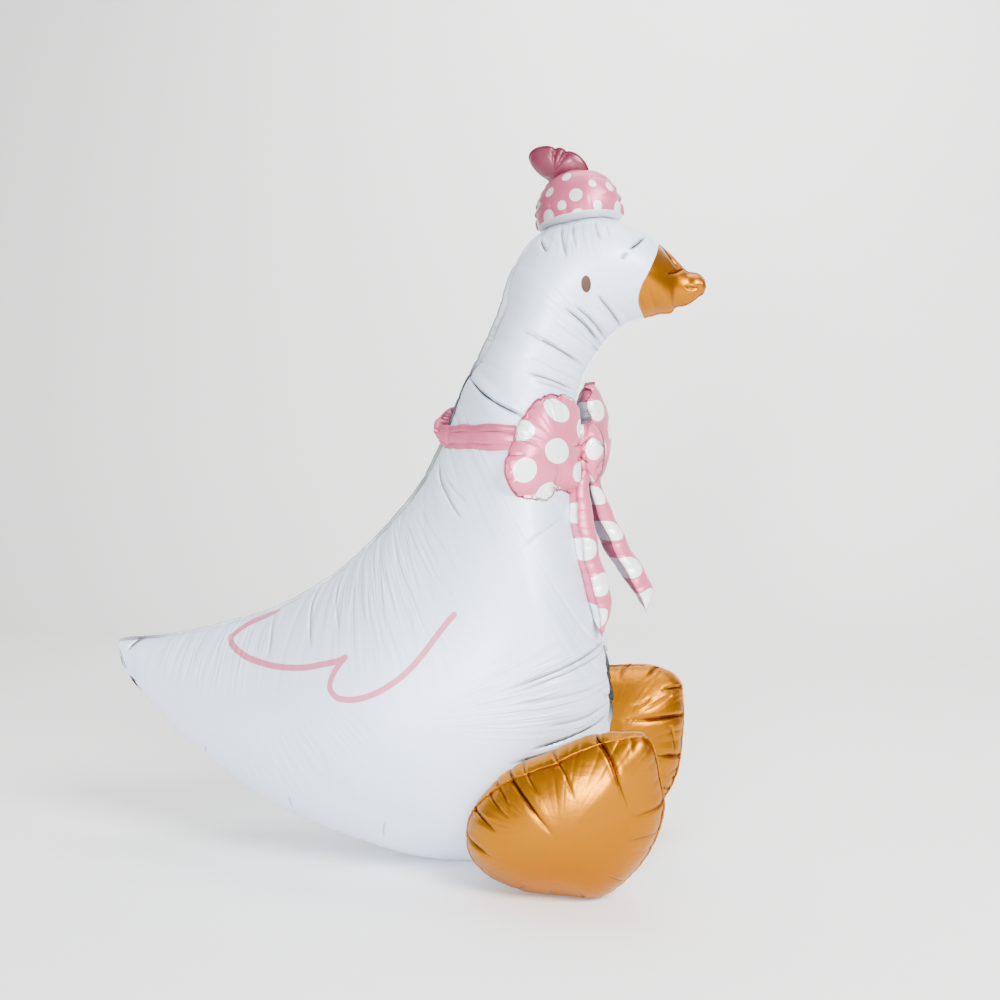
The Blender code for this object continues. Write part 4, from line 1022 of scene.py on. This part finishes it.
def dome():
    """The hat's dome: a profile (r / R) ** n + (h / H) ** n = 1 carried round its upright, n = 2.6.

    Puckers draw the brim in, and a few folds run up from it.
    """
    around, rows = ((260, 72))
    bearing = np.linspace(-np.pi, np.pi, around, endpoint=False)
    u = np.linspace(0, 1, rows)[:, None]
    rise = np.sin(np.clip(u - BRIM, 0, 1) / (1 - BRIM) * np.pi / 2)
    under = np.clip(u / UNDERSIDE, 0, 1)
    radius = np.where(u < BRIM, under ** 0.7, (1 - rise ** HAT_SQUARENESS) ** (1 / HAT_SQUARENESS))
    radius = radius * (0.955 + 0.045 * np.clip(rise / 0.25, 0, 1))
    radius = radius * (1 + 0.05 * rise * (np.cos(bearing)[None, :] - 1))
    chance = np.random.default_rng(51)
    spots = np.sort(chance.uniform(-np.pi, np.pi, 22))
    inward = np.maximum(rise * HAT_HEIGHT, (1 - under) * HAT_RADIUS)
    drawn = gathered(bearing[None, :] * HAT_RADIUS, inward + 0 * bearing[None, :], spots * HAT_RADIUS,
                     chance.uniform(0.0012, 0.0024, 22), chance.uniform(0.006, 0.022, 22),
                     chance.uniform(0.0004, 0.0013, 22), 2 * np.pi * HAT_RADIUS)
    waist = 0.0022 * np.sin(bearing * 3 + 0.6)[None, :] * np.sin(np.pi * rise)
    climb = np.hypot(np.gradient(radius[:, 0] * HAT_RADIUS), np.gradient(rise[:, 0] * HAT_HEIGHT))
    climb = np.cumsum(climb)[:, None]
    seam_gap = np.full((rows, around), 0.05)
    for front in (0.0, np.pi):
        turn = np.abs((bearing - front + np.pi) % (2 * np.pi) - np.pi)[None, :]
        arc = turn * HAT_RADIUS * radius
        seam_gap = np.minimum(seam_gap, arc)
        start = climb[np.argmax(u[:, 0] >= BRIM), 0]
        places = start + np.cumsum(chance.uniform(0.009, 0.015, 5))
        width, fade, deep = (chance.uniform(low, high, 5) for low, high in (
            (0.0018, 0.0028), (0.014, 0.030), (0.0045, 0.0085)))
        drawn = drawn + (u > BRIM) * gathered(climb, arc, places, width, fade, deep, at_weld=0.75)
    flange = 0.0022 * np.exp(-(seam_gap / 0.0016) ** 2) * (u > UNDERSIDE)
    swell = flange - np.minimum(drawn, 0.0095) - np.where(u > BRIM, waist, 0)
    reach = HAT_RADIUS * radius + swell * (radius > 0.25)
    height = np.where(u < BRIM, -0.0035 * (1 - under ** 4), HAT_HEIGHT * rise) + 0 * bearing[None, :]
    grid = (HAT_SEAT + height[..., None] * HAT_UPWARD + (reach * np.cos(bearing))[..., None] * HAT_FORWARD
            + (reach * np.sin(bearing))[..., None] * np.array([0.0, 1.0, 0.0]))
    grid = grid + outward_normals(grid) * uneven(grid * 2.5, 0.0005, 52)[..., None]
    dot = np.full(reach.shape, NO_DOT)
    for degrees, up, size in HAT_DOTS:
        turn = np.abs((bearing - math.radians(degrees) + np.pi) % (2 * np.pi) - np.pi)
        gap = np.hypot(turn[None, :] * np.maximum(reach, 0.012), height - up / 1000) * 1000 - size
        dot = np.minimum(dot, np.where(u > BRIM, gap, NO_DOT))
    # The underside below the brim is drawn in the dots' white.
    dot = np.minimum(dot, np.where(u > BRIM, height * 1000 - 0.3, (0.35 - under) * 50))
    seam = np.where(u > UNDERSIDE, 0.9 - seam_gap * 1000, -5.0)
    # Painted shade, heavier towards the dome's back than its front.
    painted_shade = 0.45 - 0.3 * np.cos(bearing)[None, :] + 0.0 * dot
    return skin("hat_dome", grid, {"seam": seam, "dot": dot, "inside": painted_shade})


def hat_leaf():
    """The leaf-shaped knot on the dome: a plain pillow that is tied in at its root."""
    turn = np.radians(np.arange(0, 360, 30))
    outline = np.stack([np.cos(turn), np.sin(turn) * (1 + 0.16 * np.cos(turn))], axis=1)
    puckers = [(248, 0.0045), (284, 0.005), (62, 0.002), (118, 0.002)]
    middle = HAT_SEAT + HAT_UPWARD * 0.067 - HAT_FORWARD * 0.0155
    # Painted shade: some on the front panel, and full on the back panel and the weld.
    return puffed("hat_leaf", outline * np.array(LEAF_SIZE[:2]) / 2, LEAF_SIZE[2] / 2000, puckers, middle,
                  (0.92, 0.0, -0.39), (-0.25, 0.72, -0.64), [], [], seed=53, around=200, rows=34,
                  strip=0.0018, scallop=0.25, shade=(0.2, 1.0, 0.9), pucker_reach=0.016)


for piece in (dome(), hat_leaf()):
    settle(piece, body, TAPE_GAP)
    piece.data.materials.append(pink)
    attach(piece, "root")
    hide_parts("hat")


# Floor, light and camera: a plain pale floor that rises into a pale wall, four soft round lamps,
# of which one is for the wall alone, and the photograph's view.

def studio_floor():
    """Floor and wall as one sheet: a profile (flat, a quarter circle, upright) carried sideways."""
    turn = np.linspace(0, math.pi / 2, 13)
    bend = np.stack([1.9 + 0.6 * np.sin(turn), 0.6 - 0.6 * np.cos(turn)], axis=1)
    profile = np.concatenate([[(-3.5, 0.0)], bend, [(2.5, 4.0)]])
    across = np.array([-5.0, 5.0])
    points = np.empty((len(profile), 2, 3))
    points[..., 0] = across[None, :]
    points[..., 1] = profile[:, :1]
    points[..., 2] = profile[:, 1:] - 0.0006
    mesh = bpy.data.meshes.new("studio_floor")
    faces = [(2 * k, 2 * k + 1, 2 * k + 3, 2 * k + 2) for k in range(len(profile) - 1)]
    mesh.from_pydata(points.reshape(-1, 3).tolist(), [], faces)
    mesh.shade_smooth()
    thing = bpy.data.objects.new("studio_floor", mesh)
    bpy.context.collection.objects.link(thing)
    return thing


floor = studio_floor()
floor_paint, _, _ = finish("pale matt paint", base_color=hexed("#f6f6f4"), roughness=0.75)
floor.data.materials.append(floor_paint)

for lamp_name, spot, target, size, power in (
        ("window_right", (1.8, -1.7, 1.9), (0.0, 0.0, 0.35), 1.3, 190.0),
        ("fill_left", (-2.2, -1.9, 1.5), (0.0, 0.0, 0.35), 2.4, 10.0),
        ("room_front", (-0.15, -2.8, 0.5), (0.1, 0.0, 0.2), 0.7, 130.0),
        ("on_the_wall", (0.3, 0.7, 2.7), (0.3, 2.5, 0.9), 2.2, 90.0)):
    lamp = bpy.data.lights.new(lamp_name, "AREA")
    lamp.shape = "DISK"
    lamp.size = size
    lamp.energy = power
    holder = bpy.data.objects.new(lamp_name, lamp)
    holder.location = spot
    holder.rotation_euler = (Vector(target) - Vector(spot)).to_track_quat("-Z", "Y").to_euler()
    bpy.context.collection.objects.link(holder)

world = bpy.data.worlds.new("pale room")
world.use_nodes = True
world.node_tree.nodes["Background"].inputs["Color"].default_value = hexed("#eef0f2")
world.node_tree.nodes["Background"].inputs["Strength"].default_value = 0.55
bpy.context.scene.world = world

camera_data = bpy.data.cameras.new("camera")
camera_data.lens = 39.6
camera_data.sensor_width = 36.0
camera = bpy.data.objects.new("camera", camera_data)
camera.location = (0.28084, -1.22992, 0.405)
camera.rotation_euler = (math.radians(90.0), 0.0, math.radians(10.0))
bpy.context.collection.objects.link(camera)
bpy.context.scene.camera = camera
